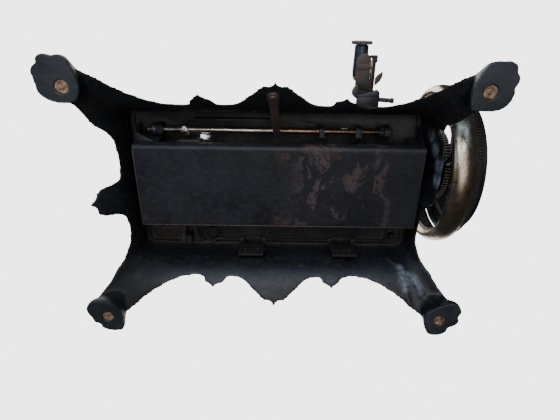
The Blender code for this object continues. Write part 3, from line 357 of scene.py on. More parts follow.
# centres and radii of the painted highlight spots: the first four on the right skirt lobe, the rest in two streaks down
# the right rear leg
SHEEN_SPOTS = [((0.1292, -0.0609, 0.0610), 0.010), ((0.1325, -0.0490, 0.0492), 0.011), ((0.1333, -0.0369, 0.0390), 0.012), ((0.1333, -0.0217, 0.0368), 0.011),
          ((0.1153, 0.0907, 0.0469), 0.006), ((0.1162, 0.0944, 0.0415), 0.006), ((0.1170, 0.0981, 0.0361), 0.007), ((0.1182, 0.1025, 0.0318), 0.006), ((0.1194, 0.1070, 0.0276), 0.006),
          ((0.1240, 0.0942, 0.0384), 0.006), ((0.1274, 0.0964, 0.0339), 0.007), ((0.1298, 0.1000, 0.0304), 0.007), ((0.1321, 0.1036, 0.0270), 0.007), ((0.1342, 0.1071, 0.0244), 0.006)]
MATS["japan_base"] = japan("base_japan", sheen_spots=SHEEN_SPOTS)
MATS["box"] = box_black()
MATS["plate"] = plate_metal()
MATS["rim"] = metal("rim_nickel", (0.62, 0.555, 0.455), (0.14, 0.08, 0.045), (0.36, 0.25, 0.15), 0.50, (0.22, 0.42), 22, streak=(3.4, 1, 1))
MATS["gearblack"] = metal("gear_black", (0.045, 0.043, 0.042), (0.01, 0.01, 0.01), (0.05, 0.04, 0.035), 0.55, (0.5, 0.7), 90, metallic=0.3)
MATS["hubteeth"] = teeth_metal()
MATS["mirror"] = metal("polished_leaf", (0.90, 0.90, 0.88), (0.6, 0.58, 0.55), (0.8, 0.78, 0.74), 0.75, (0.10, 0.2), 60)
MATS["knurl"] = japan("knurled_iron", (0.008, 0.008, 0.011), (0.030, 0.031, 0.038), (0.08, 0.055, 0.045), 0.62, 0.34, 0.5, 0.22)
MATS["sole"] = japan("sole_iron", (0.020, 0.023, 0.028), (0.060, 0.064, 0.072), (0.10, 0.060, 0.045), 0.62, 0.40, 0.4, 0.3)
MATS["gloss"] = japan("gloss_iron", (0.010, 0.011, 0.015), (0.030, 0.032, 0.042), (0.075, 0.034, 0.022), 0.74, 0.32, 0.8, 0.26)
MATS["bedblack"] = japan("bed_iron", (0.010, 0.010, 0.012), (0.056, 0.051, 0.051), (0.11, 0.070, 0.052), 0.64, 0.42, 0.3, 0.3)
MATS["gearmetal"] = metal("gear_metal", (0.20, 0.19, 0.18), (0.03, 0.025, 0.02), (0.14, 0.10, 0.075), 0.55, (0.38, 0.6), 90, metallic=0.8)
MATS["shaft"] = shaft_metal()
MATS["latch"] = metal("latch_steel", (0.125, 0.088, 0.080), (0.03, 0.022, 0.020), (0.17, 0.105, 0.085), 0.52, (0.42, 0.65), 120, metallic=0.4, bump=0.0004)
MATS["winder"] = metal("winder_steel", (0.115, 0.095, 0.088), (0.03, 0.02, 0.02), (0.15, 0.095, 0.075), 0.55, (0.42, 0.7), 150, metallic=0.45, bump=0.0003)
MATS["toothed"] = metal("star_steel", (0.22, 0.21, 0.20), (0.03, 0.03, 0.03), (0.15, 0.12, 0.10), 0.56, (0.35, 0.6), 150, metallic=0.8)
MATS["greasy"] = japan("greasy_iron", (0.028, 0.024, 0.022), (0.085, 0.070, 0.062), (0.17, 0.125, 0.09), 0.58, 0.42)

SLOT = {"japanned_iron": "japan", "box_black": "box", "nickel": "nickel", "steel": "steel", "brown_steel": "brown",
        "dark_steel": "dark", "blued_steel": "blued", "wood": "wood", "plug": "plug"}
for sp in frame["record"]["subparts"]:
    o = N[sp["node"]]
    o.data.materials.clear()
    o.data.materials.append(MATS[SLOT[sp["material_slot"]]])

# ------------------------------------------------------------ shape tools
BED_HX, BED_HY, CORNER_R, WALL, RIM_Z = 0.1575, 0.0865, 0.012, 0.0032, 0.0845
WY, WZ = -0.0151, 0.1100            # hand wheel axle
RY, RZ = -0.0606, 0.0795            # feed rock shaft


def new_mesh(verts, faces):
    m = bpy.data.meshes.new("m")
    m.from_pydata([tuple(v) for v in verts], [], faces)
    b = bmesh.new()
    b.from_mesh(m)
    bmesh.ops.remove_doubles(b, verts=b.verts, dist=1e-7)
    bmesh.ops.recalc_face_normals(b, faces=b.faces)
    if b.calc_volume(signed=True) < 0:
        bmesh.ops.reverse_faces(b, faces=b.faces)
    b.to_mesh(m)
    b.free()
    return m


def temp(mesh):
    o = bpy.data.objects.new("t", mesh)
    bpy.context.scene.collection.objects.link(o)
    return o


def baked(o):
    """The object's mesh with its modifiers applied; the object goes."""
    dg = bpy.context.evaluated_depsgraph_get()
    m = bpy.data.meshes.new_from_object(o.evaluated_get(dg))
    bpy.data.objects.remove(o, do_unlink=True)
    return m


def boolean(a, b, op):
    oa, ob = temp(a), temp(b)
    k = oa.modifiers.new("b", "BOOLEAN")
    k.operation, k.object, k.solver = op, ob, "EXACT"
    m = baked(oa)
    bpy.data.objects.remove(ob, do_unlink=True)
    return m


def union(a, *rest):
    for r in rest:
        a = boolean(a, r, "UNION")
    return a


def minus(a, *rest):
    for r in rest:
        a = boolean(a, r, "DIFFERENCE")
    return a


def joined(*meshes):
    b = bmesh.new()
    for m in meshes:
        b.from_mesh(m)
    out = bpy.data.meshes.new("m")
    b.to_mesh(out)
    b.free()
    return out


def bevelled(mesh, width, segments=2, angle=30, tidy=True):
    if tidy:
        b = bmesh.new()
        b.from_mesh(mesh)
        bmesh.ops.remove_doubles(b, verts=b.verts, dist=1e-6)
        bmesh.ops.dissolve_limit(b, angle_limit=math.radians(1.5), verts=b.verts, edges=b.edges)
        b.to_mesh(mesh)
        b.free()
    o = temp(mesh)
    k = o.modifiers.new("b", "BEVEL")
    k.width, k.segments, k.limit_method, k.angle_limit = width, segments, "ANGLE", math.radians(angle)
    k.use_clamp_overlap = True
    return baked(o)


def prism(points, a, b, axis="z"):
    def put(p, h):
        return {"x": (h, p[0], p[1]), "y": (p[0], h, p[1]), "z": (p[0], p[1], h)}[axis]
    n = len(points)
    v = [put(p, a) for p in points] + [put(p, b) for p in points]
    f = [list(range(n))[::-1], list(range(n, 2 * n))]
    f += [[i, (i + 1) % n, n + (i + 1) % n, n + i] for i in range(n)]
    return new_mesh(v, f)


def block(x0, x1, y0, y1, z0, z1):
    return prism([(x0, y0), (x1, y0), (x1, y1), (x0, y1)], z0, z1)


def rounded(x0, x1, y0, y1, r, n=8):
    pts = []
    for cx, cy, a in ((x1 - r, y1 - r, 0), (x0 + r, y1 - r, 90), (x0 + r, y0 + r, 180), (x1 - r, y0 + r, 270)):
        for i in range(n + 1):
            t = math.radians(a + 90 * i / n)
            pts.append((cx + r * math.cos(t), cy + r * math.sin(t)))
    return pts


def turned(profile, origin, axis, n=48):
    a = Vector(axis).normalized()
    u = Vector((0, 1, 0)) if abs(a.y) < 0.9 else Vector((1, 0, 0))
    u = (u - a * u.dot(a)).normalized()
    w = a.cross(u)
    o = Vector(origin)
    v, idx = [], []
    for r, h in profile:
        if r < 1e-9:
            idx.append([len(v)] * n)
            v.append(o + a * h)
        else:
            idx.append(list(range(len(v), len(v) + n)))
            v += [o + a * h + (u * math.cos(2 * math.pi * i / n) + w * math.sin(2 * math.pi * i / n)) * r for i in range(n)]
    f = []
    for k in range(len(profile)):
        lo, hi = idx[k], idx[(k + 1) % len(profile)]
        for i in range(n):
            j = (i + 1) % n
            q = [lo[i], lo[j], hi[j], hi[i]]
            q = [x for t, x in enumerate(q) if x not in q[:t]]
            if len(q) > 2:
                f.append(q)
    return new_mesh(v, f)


def rod(p, q, r, n=28, edge=0.0003):
    """A round bar with eased ends."""
    p, q = Vector(p), Vector(q)
    length = (q - p).length
    e = min(edge, r * 0.4, length * 0.3)
    return turned([(0, 0), (r - e, 0), (r - e * 0.3, e * 0.3), (r, e), (r, length - e), (r - e * 0.3, length - e * 0.3), (r - e, length), (0, length)], p, q - p, n)


def swept(path, section, up=(0, 1, 0), scales=None):
    pts = [Vector(p) for p in path]
    upv = Vector(up)
    v, n = [], len(section)
    for k, p in enumerate(pts):
        d = (pts[min(k + 1, len(pts) - 1)] - pts[max(k - 1, 0)]).normalized()
        side = d.cross(upv).normalized()
        top = side.cross(d).normalized()
        s = scales[k] if scales else (1, 1)
        v += [p + side * a * s[0] + top * b * s[1] for a, b in section]
    f = [list(range(n))[::-1], [(len(pts) - 1) * n + i for i in range(n)]]
    for k in range(len(pts) - 1):
        for i in range(n):
            j = (i + 1) % n
            f.append([k * n + i, k * n + j, (k + 1) * n + j, (k + 1) * n + i])
    return new_mesh(v, f)


def smooth_path(pts, per=6):
    """A Catmull-Rom curve through the points."""
    p = [Vector(x) for x in pts]
    p = [p[0] * 2 - p[1]] + p + [p[-1] * 2 - p[-2]]
    out = []
    for i in range(1, len(p) - 2):
        for k in range(per):
            t = k / per
            out.append(0.5 * ((2 * p[i]) + (p[i + 1] - p[i - 1]) * t + (2 * p[i - 1] - 5 * p[i] + 4 * p[i + 1] - p[i + 2]) * t * t
                              + (3 * p[i] - p[i - 1] - 3 * p[i + 1] + p[i + 2]) * t ** 3))
    out.append(p[-2])
    return out


def smooth_loop(pts, per=6):
    n = len(pts)
    p = [Vector((*x, 0)) for x in pts]
    out = []
    for i in range(n):
        a, b, c, d = p[i - 1], p[i], p[(i + 1) % n], p[(i + 2) % n]
        for k in range(per):
            t = k / per
            q = 0.5 * ((2 * b) + (c - a) * t + (2 * a - 5 * b + 4 * c - d) * t * t + (3 * b - a - 3 * c + d) * t ** 3)
            out.append((q.x, q.y))
    return out


def ring(a, b, n=24):
    return [(a * math.cos(2 * math.pi * i / n), b * math.sin(2 * math.pi * i / n)) for i in range(n)]


def bar(w, t, r=0.0003):
    return rounded(-w / 2, w / 2, -t / 2, t / 2, min(r, w * 0.4, t * 0.4), 2)


def piece(name, mesh, mat, body, slot, *stands, angle=40):
    """Links a finished mesh, given in the machine frame, as a visible piece."""
    mesh.name = name
    mesh.transform(Matrix.Translation(SHIFT))
    mesh.materials.clear()
    mesh.materials.append(MATS[mat] if isinstance(mat, str) else mat)
    for p in mesh.polygons:
        p.material_index = 0
    mesh.shade_smooth()
    if angle:
        mesh.set_sharp_from_angle(angle=math.radians(angle))
    o = bpy.data.objects.new(name, mesh)
    bpy.context.scene.collection.objects.link(o)
    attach(o, body)
    if stands:
        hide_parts(*stands)
    return o


def eased(node, width=0.0004, segments=2, mat=None, angle=30):
    """A copy of a CAD node with its edges broken, standing for it."""
    sp = next(s for s in frame["record"]["subparts"] if s["node"] == node)
    m = N[node].data.copy()
    m.transform(Matrix.Translation(-SHIFT))
    body = next(b for b, ns in frame["record"]["behaviour"]["bodies"].items() if node in ns)
    return piece(node + "_fine", bevelled(m, width, segments, angle), mat or SLOT[sp["material_slot"]], body, sp["material_slot"], node)


def pchip(table):
    xs, ys = [a for a, _ in table], [b for _, b in table]
    n = len(xs)
    h = [xs[i + 1] - xs[i] for i in range(n - 1)]
    s = [(ys[i + 1] - ys[i]) / h[i] for i in range(n - 1)]
    m = [s[0]] + [0.0] * (n - 2) + [s[-1]]
    for i in range(1, n - 1):
        if s[i - 1] * s[i] > 0:
            w1, w2 = 2 * h[i] + h[i - 1], h[i] + 2 * h[i - 1]
            m[i] = (w1 + w2) / (w1 / s[i - 1] + w2 / s[i])

    def f(x):
        if x <= xs[0]:
            return ys[0]
        if x >= xs[-1]:
            return ys[-1]
        i = 0
        while x > xs[i + 1]:
            i += 1
        t = (x - xs[i]) / h[i]
        return (ys[i] * (1 + 2 * t) * (1 - t) ** 2 + m[i] * h[i] * t * (1 - t) ** 2
                + ys[i + 1] * t * t * (3 - 2 * t) + m[i + 1] * h[i] * t * t * (t - 1))
    return f


def curve(*tables):
    """Tables that meet at cusps."""
    fs = [(t[0][0], t[-1][0], pchip(t)) for t in tables]

    def f(x):
        for a, b, g in fs:
            if x <= b:
                return g(x)
        return fs[-1][2](x)
    return f


# ------------------------------------------------------------ base casting
def flare(z):
    return 76.8 * max(0.0, 0.070 - z) ** 2.6


def spread(z, k):
    return flare(z) * (k if k < 1 else 1 + (k - 1) * min(1.0, flare(z) / 0.03))


PENDANT = [(0, .0165), (.0035, .0192), (.0060, .0202), (.0100, .0200), (.0145, .0218), (.026, .0282), (.036, .0343), (.043, .0362), (.050, .0368)]
LEG = [(.088, .0383), (.100, .0368), (.112, .0335), (.125, .0290), (.137, .0242), (.1455, .0203)]
EDGE = {
    (-1, -1): curve(PENDANT, [(.050, .0368), (.0535, .0362), (.0570, .0330), (.0605, .0300), (.0640, .0290), (.0680, .0258), (.0700, .0247)],
                    [(.0700, .0247), (.0722, .0262), (.0750, .0285), (.0780, .0300), (.0793, .0318), (.0806, .0362)], [(.0806, .0362), (.0840, .0380)] + LEG),
    (1, -1): curve(PENDANT, [(.050, .0368), (.0523, .0362), (.0538, .0318)], [(.0538, .0318), (.0560, .0302), (.0600, .0298), (.0632, .0280), (.0650, .0272)],
                   [(.0650, .0272), (.0670, .0286), (.0720, .0312), (.0760, .0340), (.0800, .0370)] + LEG),
    (-1, 1): curve(PENDANT, [(.050, .0368), (.0530, .0358), (.0560, .0326), (.0600, .0306), (.0650, .0292), (.0690, .0270)],
                   [(.0690, .0270), (.0715, .0292), (.0760, .0310), (.0786, .0322), (.0794, .0366)], [(.0794, .0366), (.0840, .0378)] + LEG),
    (1, 1): curve(PENDANT, [(.050, .0366), (.0520, .0358), (.0540, .0322), (.0570, .0306), (.0610, .0296), (.0640, .0272)],
                  [(.0640, .0272), (.0665, .0290), (.0700, .0300), (.0728, .0316), (.0750, .0352)], [(.0750, .0352), (.0800, .0372)] + LEG),
}
CORNER = pchip([(0, .0203), (8, .0165), (16, .0130), (24, .0095), (36, .0090), (48, .0095), (54, .0150), (60, .0228), (68, .0265), (80, .0305), (90, .0335)])
LEFT = curve([(-.0745, .0335), (-.0655, .0417), (-.051, .0487), (-.035, .0497), (-.020, .0484), (-.0155, .0450), (-.0142, .0350)],
             [(-.0142, .0350), (-.0120, .0290), (-.0090, .0270), (-.0060, .0268), (-.0040, .0250), (.0005, .0226), (.0035, .0204)],
             [(.0035, .0204), (.0062, .0238), (.0095, .0252), (.0130, .0256), (.0165, .0270), (.0195, .0315), (.0212, .0400)],
             [(.0212, .0400), (.0295, .0475), (.042, .0500), (.0527, .0490), (.0655, .0430), (.0745, .0380)])
RIGHT = pchip([(-.0745, .0480), (-.0690, .0490), (-.0655, .0440), (-.0600, .0350), (-.0540, .0315), (-.035, .0300), (-.012, .0305), (.0010, .0335), (.0080, .0420), (.020, .0500),
               (.0526, .0543), (.069, .0450), (.0745, .0410)])


def stations():
    cx, cy = BED_HX - CORNER_R, BED_HY - CORNER_R
    out = []

    def corner(sx, sy, from_front):
        rows = []
        for i in range(0, 37):
            a = i * 2.5
            t = math.radians(a)
            z = CORNER(a)
            e = max(0.0, (a - 60) / 30)
            e = e * e * (3 - 2 * e)
            z += e * {(1, -1): 0.0145, (1, 1): 0.0075, (-1, 1): 0.0045, (-1, -1): 0.0}[(sx, sy)]
            boost = 1 + 0.22 * math.exp(-((a - 46) / 15.0) ** 2)
            rows.append((sx * (cx + CORNER_R * math.sin(t)), sy * (cy + CORNER_R * math.cos(t)), sx * math.sin(t), sy * math.cos(t), z, boost, 0.0))
        return rows if from_front else rows[::-1]

    def span(h, step):
        n = round(2 * h / step)
        return [-h + 2 * h * i / n for i in range(1, n)]

    for x in span(cx, 0.0011):
        out.append((x, -BED_HY, 0, -1, EDGE[(-1 if x < 0 else 1, -1)](abs(x)), 1.0, 0.0))
    out += corner(1, -1, True)
    for y in span(cy, 0.0011):
        k = max(0.0, 1 - ((y + 0.030) / 0.046) ** 4) if abs(y + 0.030) < 0.046 else 0.0
        b = 0.0066 * max(0.0, 1 - ((y + 0.033) / 0.042) ** 2) ** 0.5 if abs(y + 0.033) < 0.042 else 0.0
        out.append((BED_HX, y, 1, 0, RIGHT(y), 1 - k, b))
    out += corner(1, 1, False)
    for x in span(cx, 0.0011)[::-1]:
        out.append((x, BED_HY, 0, 1, EDGE[(-1 if x < 0 else 1, 1)](abs(x)), 1.0, 0.0))
    out += corner(-1, 1, True)
    for y in span(cy, 0.0011)[::-1]:
        out.append((-BED_HX, y, -1, 0, LEFT(y), 1.0, 0.0))
    out += corner(-1, -1, False)
    return out


def skirt():
    rows, loops = 26, []
    for x, y, nx, ny, ze, k, push in stations():
        diag = min(abs(nx), abs(ny)) * 1.414
        thick = WALL * (1 + 0.9 * diag)
        loop = []
        for i in range(rows):
            f = i / (rows - 1)
            z = RIM_Z + (ze - RIM_Z) * (1 - (1 - f) ** 1.25)
            d = spread(z, k) + push * min(1.0, max(0.0, (0.078 - z) / 0.03)) ** 0.6
            loop.append((x + nx * d, y + ny * d, z))
        for i in range(rows - 1, -1, -1):
            f = i / (rows - 1)
            z = RIM_Z + (ze + 0.0006 - RIM_Z) * (1 - (1 - f) ** 1.25) if i else RIM_Z
            d = spread(z, k) + push * min(1.0, max(0.0, (0.078 - z) / 0.03)) ** 0.6 - thick * (0.72 + 0.28 * (1 - f))
            bead = 0.0011 * math.exp(-((z - 0.0605) / 0.0011) ** 2) * (1 - diag)
            d = -0.0058 if i == 0 else d - bead
            loop.append((x + nx * d, y + ny * d, z))
        loops.append(loop)
    m, n = len(loops), len(loops[0])
    v = [p for loop in loops for p in loop]
    f = []
    for a in range(m):
        b = (a + 1) % m
        for i in range(n):
            j = (i + 1) % n
            f.append([a * n + i, a * n + j, b * n + j, b * n + i])
    return new_mesh(v, f)


# sole outlines in millimetres from the middle of each foot: toes outwards, heel towards the leg
SOLES = {
    (-1, -1): [(-19.9, -6.8), (-17.6, -11.0), (-14.2, -13.4), (-13.6, -17.0), (-10.1, -20.1), (-5.6, -20.2), (-1.2, -18.8), (3.8, -20.2), (8.3, -18.9),
               (10.9, -16.2), (12.9, -10.0), (15.8, -2.7), (17.5, 4.5), (16.9, 10.3), (14.3, 15.4), (10.0, 18.6), (4.3, 19.3), (-2.9, 19.0), (-10.1, 16.8),
               (-15.2, 13.2), (-18.0, 8.9), (-18.7, 3.1), (-19.3, -2.0)],
    (-1, 1): [(-19.9, -9.4), (-15.4, -15.4), (-7.3, -17.7), (2.0, -16.6), (11.4, -12.2), (16.4, -1.2), (17.6, 9.9), (15.4, 19.4), (7.4, 21.6), (-.6, 20.8),
              (-6.4, 17.6), (-8.6, 12.6), (-14.2, 10.2), (-16.2, 4.0), (-19.8, -2.6)],
    (1, 1): [(-17.1, -2.7), (-14.4, -8.8), (-6.4, -14.6), (3.0, -19.0), (11.1, -21.0), (17.4, -18.4), (21.2, -10.0), (19.0, -3.4), (20.6, 3.0), (16.6, 8.6),
             (10.6, 11.4), (9.0, 17.4), (1.3, 21.6), (-8.6, 21.0), (-13.6, 15.2), (-16.1, 6.5)],
    (1, -1): [(-5.2, -18.0), (2.4, -19.4), (6.0, -18.8), (9.6, -19.6), (14.2, -18.0), (16.7, -14.8), (17.4, -11.0), (20.2, -7.2), (20.6, -3.2), (18.4, 1.2),
              (18.9, 5.8), (17.8, 11.6), (14.6, 16.6), (9.6, 20.0), (3.0, 21.2), (-5.0, 21.3), (-12.0, 20.6), (-15.6, 16.6), (-16.4, 10.4), (-16.0, 4.0),
              (-14.4, -3.2), (-11.6, -9.8), (-8.6, -14.8)],
}


def paw(sx, sy):
    cx, cy = sx * 0.1800, sy * 0.1225
    outline = smooth_loop([(a / 1000, b / 1000) for a, b in SOLES[(sx, sy)]], 5)
    lx, ly = -sx * 0.0070, -sy * 0.0070            # the top leans towards the leg
    levels = [(0.0, 0.985, 0.0), (0.0006, 1.0, 0.0), (0.0040, 1.0, 0.0), (0.0068, 0.975, 0.04), (0.0095, 0.90, 0.14), (0.0125, 0.78, 0.32),
              (0.0160, 0.66, 0.62), (0.0200, 0.55, 1.0)]
    n = len(outline)
    v = []
    for z, s, lean in levels:
        v += [(cx + a * s + lx * lean, cy + b * s + ly * lean, z) for a, b in outline]
    f = [list(range(n))[::-1], [(len(levels) - 1) * n + i for i in range(n)]]
    for k in range(len(levels) - 1):
        for i in range(n):
            j = (i + 1) % n
            f.append([k * n + i, k * n + j, (k + 1) * n + j, (k + 1) * n + i])
    return new_mesh(v, f)


HINGE_XS, HALF = (-0.0270, 0.0800), 0.0145
LP = Vector((-0.0020, -0.1062, 0.0245))
LN = Vector((0, -0.637, 0.771)).normalized()
LU = Vector((0.060, 0.771, 0.637)).normalized()
HOLES = {(-1, -1): (-0.1770, -0.1168), (1, -1): (0.1790, -0.1172), (-1, 1): (-0.1785, 0.1248), (1, 1): (0.1793, 0.1243)}


RIDGES = [[(0.1317, 0.0837, 0.063), (0.1370, 0.0852, 0.0548), (0.1435, 0.0881, 0.0469), (0.1452, 0.0955, 0.0361), (0.1476, 0.1044, 0.0276), (0.1506, 0.1171, 0.0192)],
          [(0.1424, 0.0856, 0.0534), (0.1483, 0.0894, 0.0429), (0.1556, 0.0938, 0.0339), (0.1603, 0.1010, 0.0270), (0.1644, 0.1080, 0.0219)]]


TIPS = [(0.0, -0.1200), (-0.1845, 0.0030), (-0.0712, -0.1058), (0.0648, -0.1028), (-0.0685, 0.1035), (0.0635, 0.1020)]


def make_base():
    shell = skirt()
    paws = [paw(sx, sy) for sx in (-1, 1) for sy in (-1, 1)]
    boss = rod(LP + LN * 0.0010, LP + LN * 0.0075, 0.0052, 32)
    o = temp(joined(shell, boss, *paws))
    k = o.modifiers.new("r", "REMESH")
    k.mode, k.voxel_size, k.adaptivity = "VOXEL", 0.00105, 0.0
    m = baked(o)
    # soften: a little everywhere, more where the legs run into the feet
    b = bmesh.new()
    b.from_mesh(m)
    b.verts.ensure_lookup_table()
    near = []
    for v in b.verts:
        x, y, z = v.co
        if 0.0062 < z < 0.034 and abs(x) > 0.135 and abs(y) > 0.085:
            d = math.hypot(abs(x) - 0.1800, abs(y) - 0.1225)
            if d < 0.040:
                near.append(v)
    for _ in range(14):
        bmesh.ops.smooth_vert(b, verts=near, factor=0.5, use_axis_x=True, use_axis_y=True, use_axis_z=True)
    free = [v for v in b.verts if v.co.z > 0.0006]
    for _ in range(12):
        bmesh.ops.smooth_vert(b, verts=free, factor=0.5, use_axis_x=True, use_axis_y=True, use_axis_z=True)
    tips = [v for v in free if any(math.hypot(v.co.x - tx, v.co.y - ty) < 0.0085 for tx, ty in TIPS)]
    for _ in range(26):                           # worn, rounded lobe tips
        bmesh.ops.smooth_vert(b, verts=tips, factor=0.5, use_axis_x=True, use_axis_y=True, use_axis_z=True)
    lines = [[Vector(q) for q in line] for line in RIDGES]
    b.normal_update()
    for v in b.verts:                             # cast ridges that run down the right rear leg
        if v.co.x > 0.125 and v.co.y > 0.078 and v.co.z > 0.015:
            for line in lines:
                d = min((v.co - geometry.intersect_point_line(v.co, p, q)[0]).length if 0 <= geometry.intersect_point_line(v.co, p, q)[1] <= 1
                        else min((v.co - p).length, (v.co - q).length) for p, q in zip(line, line[1:]))
                if d < 0.009:
                    v.co += v.normal * 0.0013 * math.exp(-(d / 0.0034) ** 2)
    for v in b.verts:
        if v.co.z < 0.0007:
            v.co.z = max(0.0, v.co.z * 0.5)
    b.to_mesh(m)
    b.free()
    for (sx, sy), (hx, hy) in HOLES.items():
        m = minus(m, rod((hx, hy, -0.003), (hx, hy, 0.0062), 0.0066, 36, 0.0))
    m = minus(m, rod(LP - LN * 0.004, LP + LN * 0.0068, 0.0019, 20, 0.0))
    return minus(m, *[block(hx - HALF - 0.0003, hx + HALF + 0.0003, 0.0600, 0.1000, 0.0765, 0.1000) for hx in HINGE_XS])


piece("base_iron", make_base(), "japan_base", "base", "japanned_iron", "base_casting", angle=0)


def jitter(mesh, amount, scale, keep=lambda v: True):
    """Pushes a mesh's points a little along their normals by seeded noise."""
    for v in mesh.vertices:
        if keep(v.co):
            v.co += v.normal * (noise.noise(v.co * scale) * amount)
    return mesh


# ------------------------------------------------------------ works box under the bed
BX0, BX1, BY0, BY1, BZ0, BZ1 = -0.1433, 0.1515, -0.0535, 0.0362, 0.0465, 0.0840


def trough(y0, y1, z0, z1, rf, rr, steps):
    pts = [(y0, z1)]
    pts += [(y0, z1 + (z0 + rf - z1) * i / 6) for i in range(1, 6)]
    for i in range(steps + 1):
        t = math.radians(180 + 90 * i / steps)
        pts.append((y0 + rf + rf * math.cos(t), z0 + rf + rf * math.sin(t)))
    n = 26
    pts += [(y0 + rf + (y1 - rr - y0 - rf) * i / n, z0) for i in range(1, n)]
    for i in range(steps // 2 + 1):
        t = math.radians(270 + 90 * i / (steps // 2))
        pts.append((y1 - rr + rr * math.cos(t), z0 + rr + rr * math.sin(t)))
    pts += [(y1, z0 + rr + (z1 - z0 - rr) * i / 6) for i in range(1, 6)]
    pts.append((y1, z1))
    return pts


def make_box():
    outer = trough(BY0, BY1, BZ0, BZ1, 0.0046, 0.0014, 8)
    inner = trough(BY0 + 0.0013, BY1 - 0.0013, BZ0 + 0.0013, BZ1, 0.0034, 0.0007, 4)[::-1]
    loop = outer + inner
    xs = [BX0 + 0.0014 + (BX1 - BX0 - 0.0028) * i / 90 for i in range(91)]
    n = len(loop)
    v = [(x, y, z) for x in xs for y, z in loop]
    f = [list(range(n))[::-1], [90 * n + i for i in range(n)]]
    for k in range(90):
        for i in range(n):
            j = (i + 1) % n
            f.append([k * n + i, k * n + j, (k + 1) * n + j, (k + 1) * n + i])
    shell = new_mesh(v, f)
    end = [(y, z) for y, z in trough(BY0 + 0.0001, BY1 - 0.0001, BZ0 + 0.0001, BZ1, 0.0046, 0.0014, 8)]
    for x0, x1 in ((BX0, BX0 + 0.0016), (BX1 - 0.0016, BX1)):
        plate = bevelled(prism(end, x0, x1, "x"), 0.0004, 2, 60)
        ear = bevelled(prism([(BY0 + 0.002, 0.0520), (-0.0665, 0.0770), (-0.0665, 0.0838), (BY0 + 0.002, 0.0838)], x0, x1, "x"), 0.0003, 2, 30)
        shell = union(shell, plate, ear)
    gusset = bevelled(prism([(BX0 + 0.0004, -0.0640), (BX0 + 0.0004, BY0 + 0.0008), (BX0 + 0.0200, BY0 + 0.0008)], 0.0600, 0.0612), 0.0003, 2, 30)
    shell = union(shell, gusset)
    shell = minus(shell, block(BX0 + 0.0230, BX1 - 0.0130, BY0 - 0.0010, BY0 + 0.0020, 0.0590, 0.0850))
    for v in shell.vertices:                      # hammered, slightly bowed sheet
        x, y, z = v.co
        if z < 0.0475:
            v.co.z += 0.00028 * noise.noise(v.co * 38) + 0.0005 * (1 - ((y + 0.009) / 0.045) ** 2) * 0.5
        if y < BY0 + 0.001 and z < 0.07:
            v.co.y += 0.00030 * noise.noise(v.co * 45)
    return shell


piece("works_box", make_box(), "box", "head", "box_black", "underbed_box", angle=35)

# ------------------------------------------------------------ hand wheel, gear and belt wheel
HUB = (0.0, WY, WZ)
rim_profile = [(0.0822 + 0.0069 * math.sin(2 * math.pi * i / 36), 0.0124 * math.cos(2 * math.pi * i / 36)) for i in range(36)]
piece("wheel_rim", turned(rim_profile, (0.1851, WY, WZ), (1, 0, 0), 220), "rim", "drive", "nickel", "handwheel_rim", angle=0)


def toothed(teeth, module, x0, x1, y, z, bore, phase):
    r, pitch, pts = module * teeth / 2, 2 * math.pi / teeth, []
    prof = [(-0.335, -1.15), (-0.26, -0.95), (-0.155, 0.55), (-0.105, 0.88), (0.0, 0.92), (0.105, 0.88), (0.155, 0.55), (0.26, -0.95), (0.335, -1.15)]
    for k in range(teeth):
        for da, h in prof:
            a = phase + pitch * (k + da)
            pts.append((y + (r + h * module) * math.cos(a), z + (r + h * module) * math.sin(a)))
    e = 0.0004
    n = len(pts)
    inner = [(y + bore * math.cos(phase + 2 * math.pi * (i / n)), z + bore * math.sin(phase + 2 * math.pi * (i / n))) for i in range(n)]

    def pull(ps, s):
        return [(y + (a - y) * s, z + (b - z) * s) for a, b in ps]
    rings = [(x0, pull(pts, 0.996)), (x0 + e, pts), (x1 - e, pts), (x1, pull(pts, 0.996)), (x1, inner), (x0, inner)]
    v = [(x, a, b) for x, ps in rings for a, b in ps]
    f = []
    for k in range(6):
        m = (k + 1) % 6
        for i in range(n):
            j = (i + 1) % n
            f.append([k * n + i, k * n + j, m * n + j, m * n + i])
    return new_mesh(v, f)


TEETH, PINION = 150, 30
MODULE = 0.160 / TEETH
SHAFT_Z = WZ + MODULE * (TEETH + PINION) / 2
piece("gear_ring", toothed(TEETH, MODULE, 0.1986, 0.2033, WY, WZ, 0.0660, math.pi / 2), "gearblack", "drive", "dark_steel", "drive_gear", angle=25)
piece("hub_teeth", toothed(70, 0.0011, 0.1831, 0.1890, WY, WZ, 0.0151, 0.0), "hubteeth", "drive", "dark_steel", "hub_gear", angle=25)
piece("pinion_gear", toothed(PINION, MODULE, 0.1984, 0.2036, WY, SHAFT_Z, 0.0046, -math.pi / 2 + math.pi / PINION), "steel", "upper_shaft", "steel", "pinion", angle=25)


def make_spider():
    hub = turned([(0.0052, 0.0), (0.0135, 0.0), (0.0150, 0.0012), (0.0150, 0.0045), (0.0172, 0.0062), (0.0172, 0.0108), (0.0150, 0.0125), (0.0142, 0.0285), (0.0132, 0.0300), (0.0052, 0.0300)],
                 (0.1665, WY, WZ), (1, 0, 0), 64)
    arms = []
    for k in range(5):
        a0 = math.radians(-52) + 2 * math.pi * k / 5
        path, sc = [], []
        for i in range(19):
            t = i / 18
            r = 0.0125 + (0.0805 - 0.0125) * t
            a = a0 + 0.26 * math.sin(math.pi * t)
            path.append((0.1748 + 0.0056 * t * t, WY + r * math.cos(a), WZ + r * math.sin(a)))
            w = 1.20 - 0.45 * math.sin(math.pi * min(1.0, t * 1.05))
            sc.append((1.0, w))
        arms.append(swept(path, ring(0.0021, 0.0043, 20), up=(0, WY * 0, 1) if False else (1, 0, 0), scales=[(b, a) for a, b in sc]))
    return hub, arms


def swap(section):
    return [(b, a) for a, b in section]


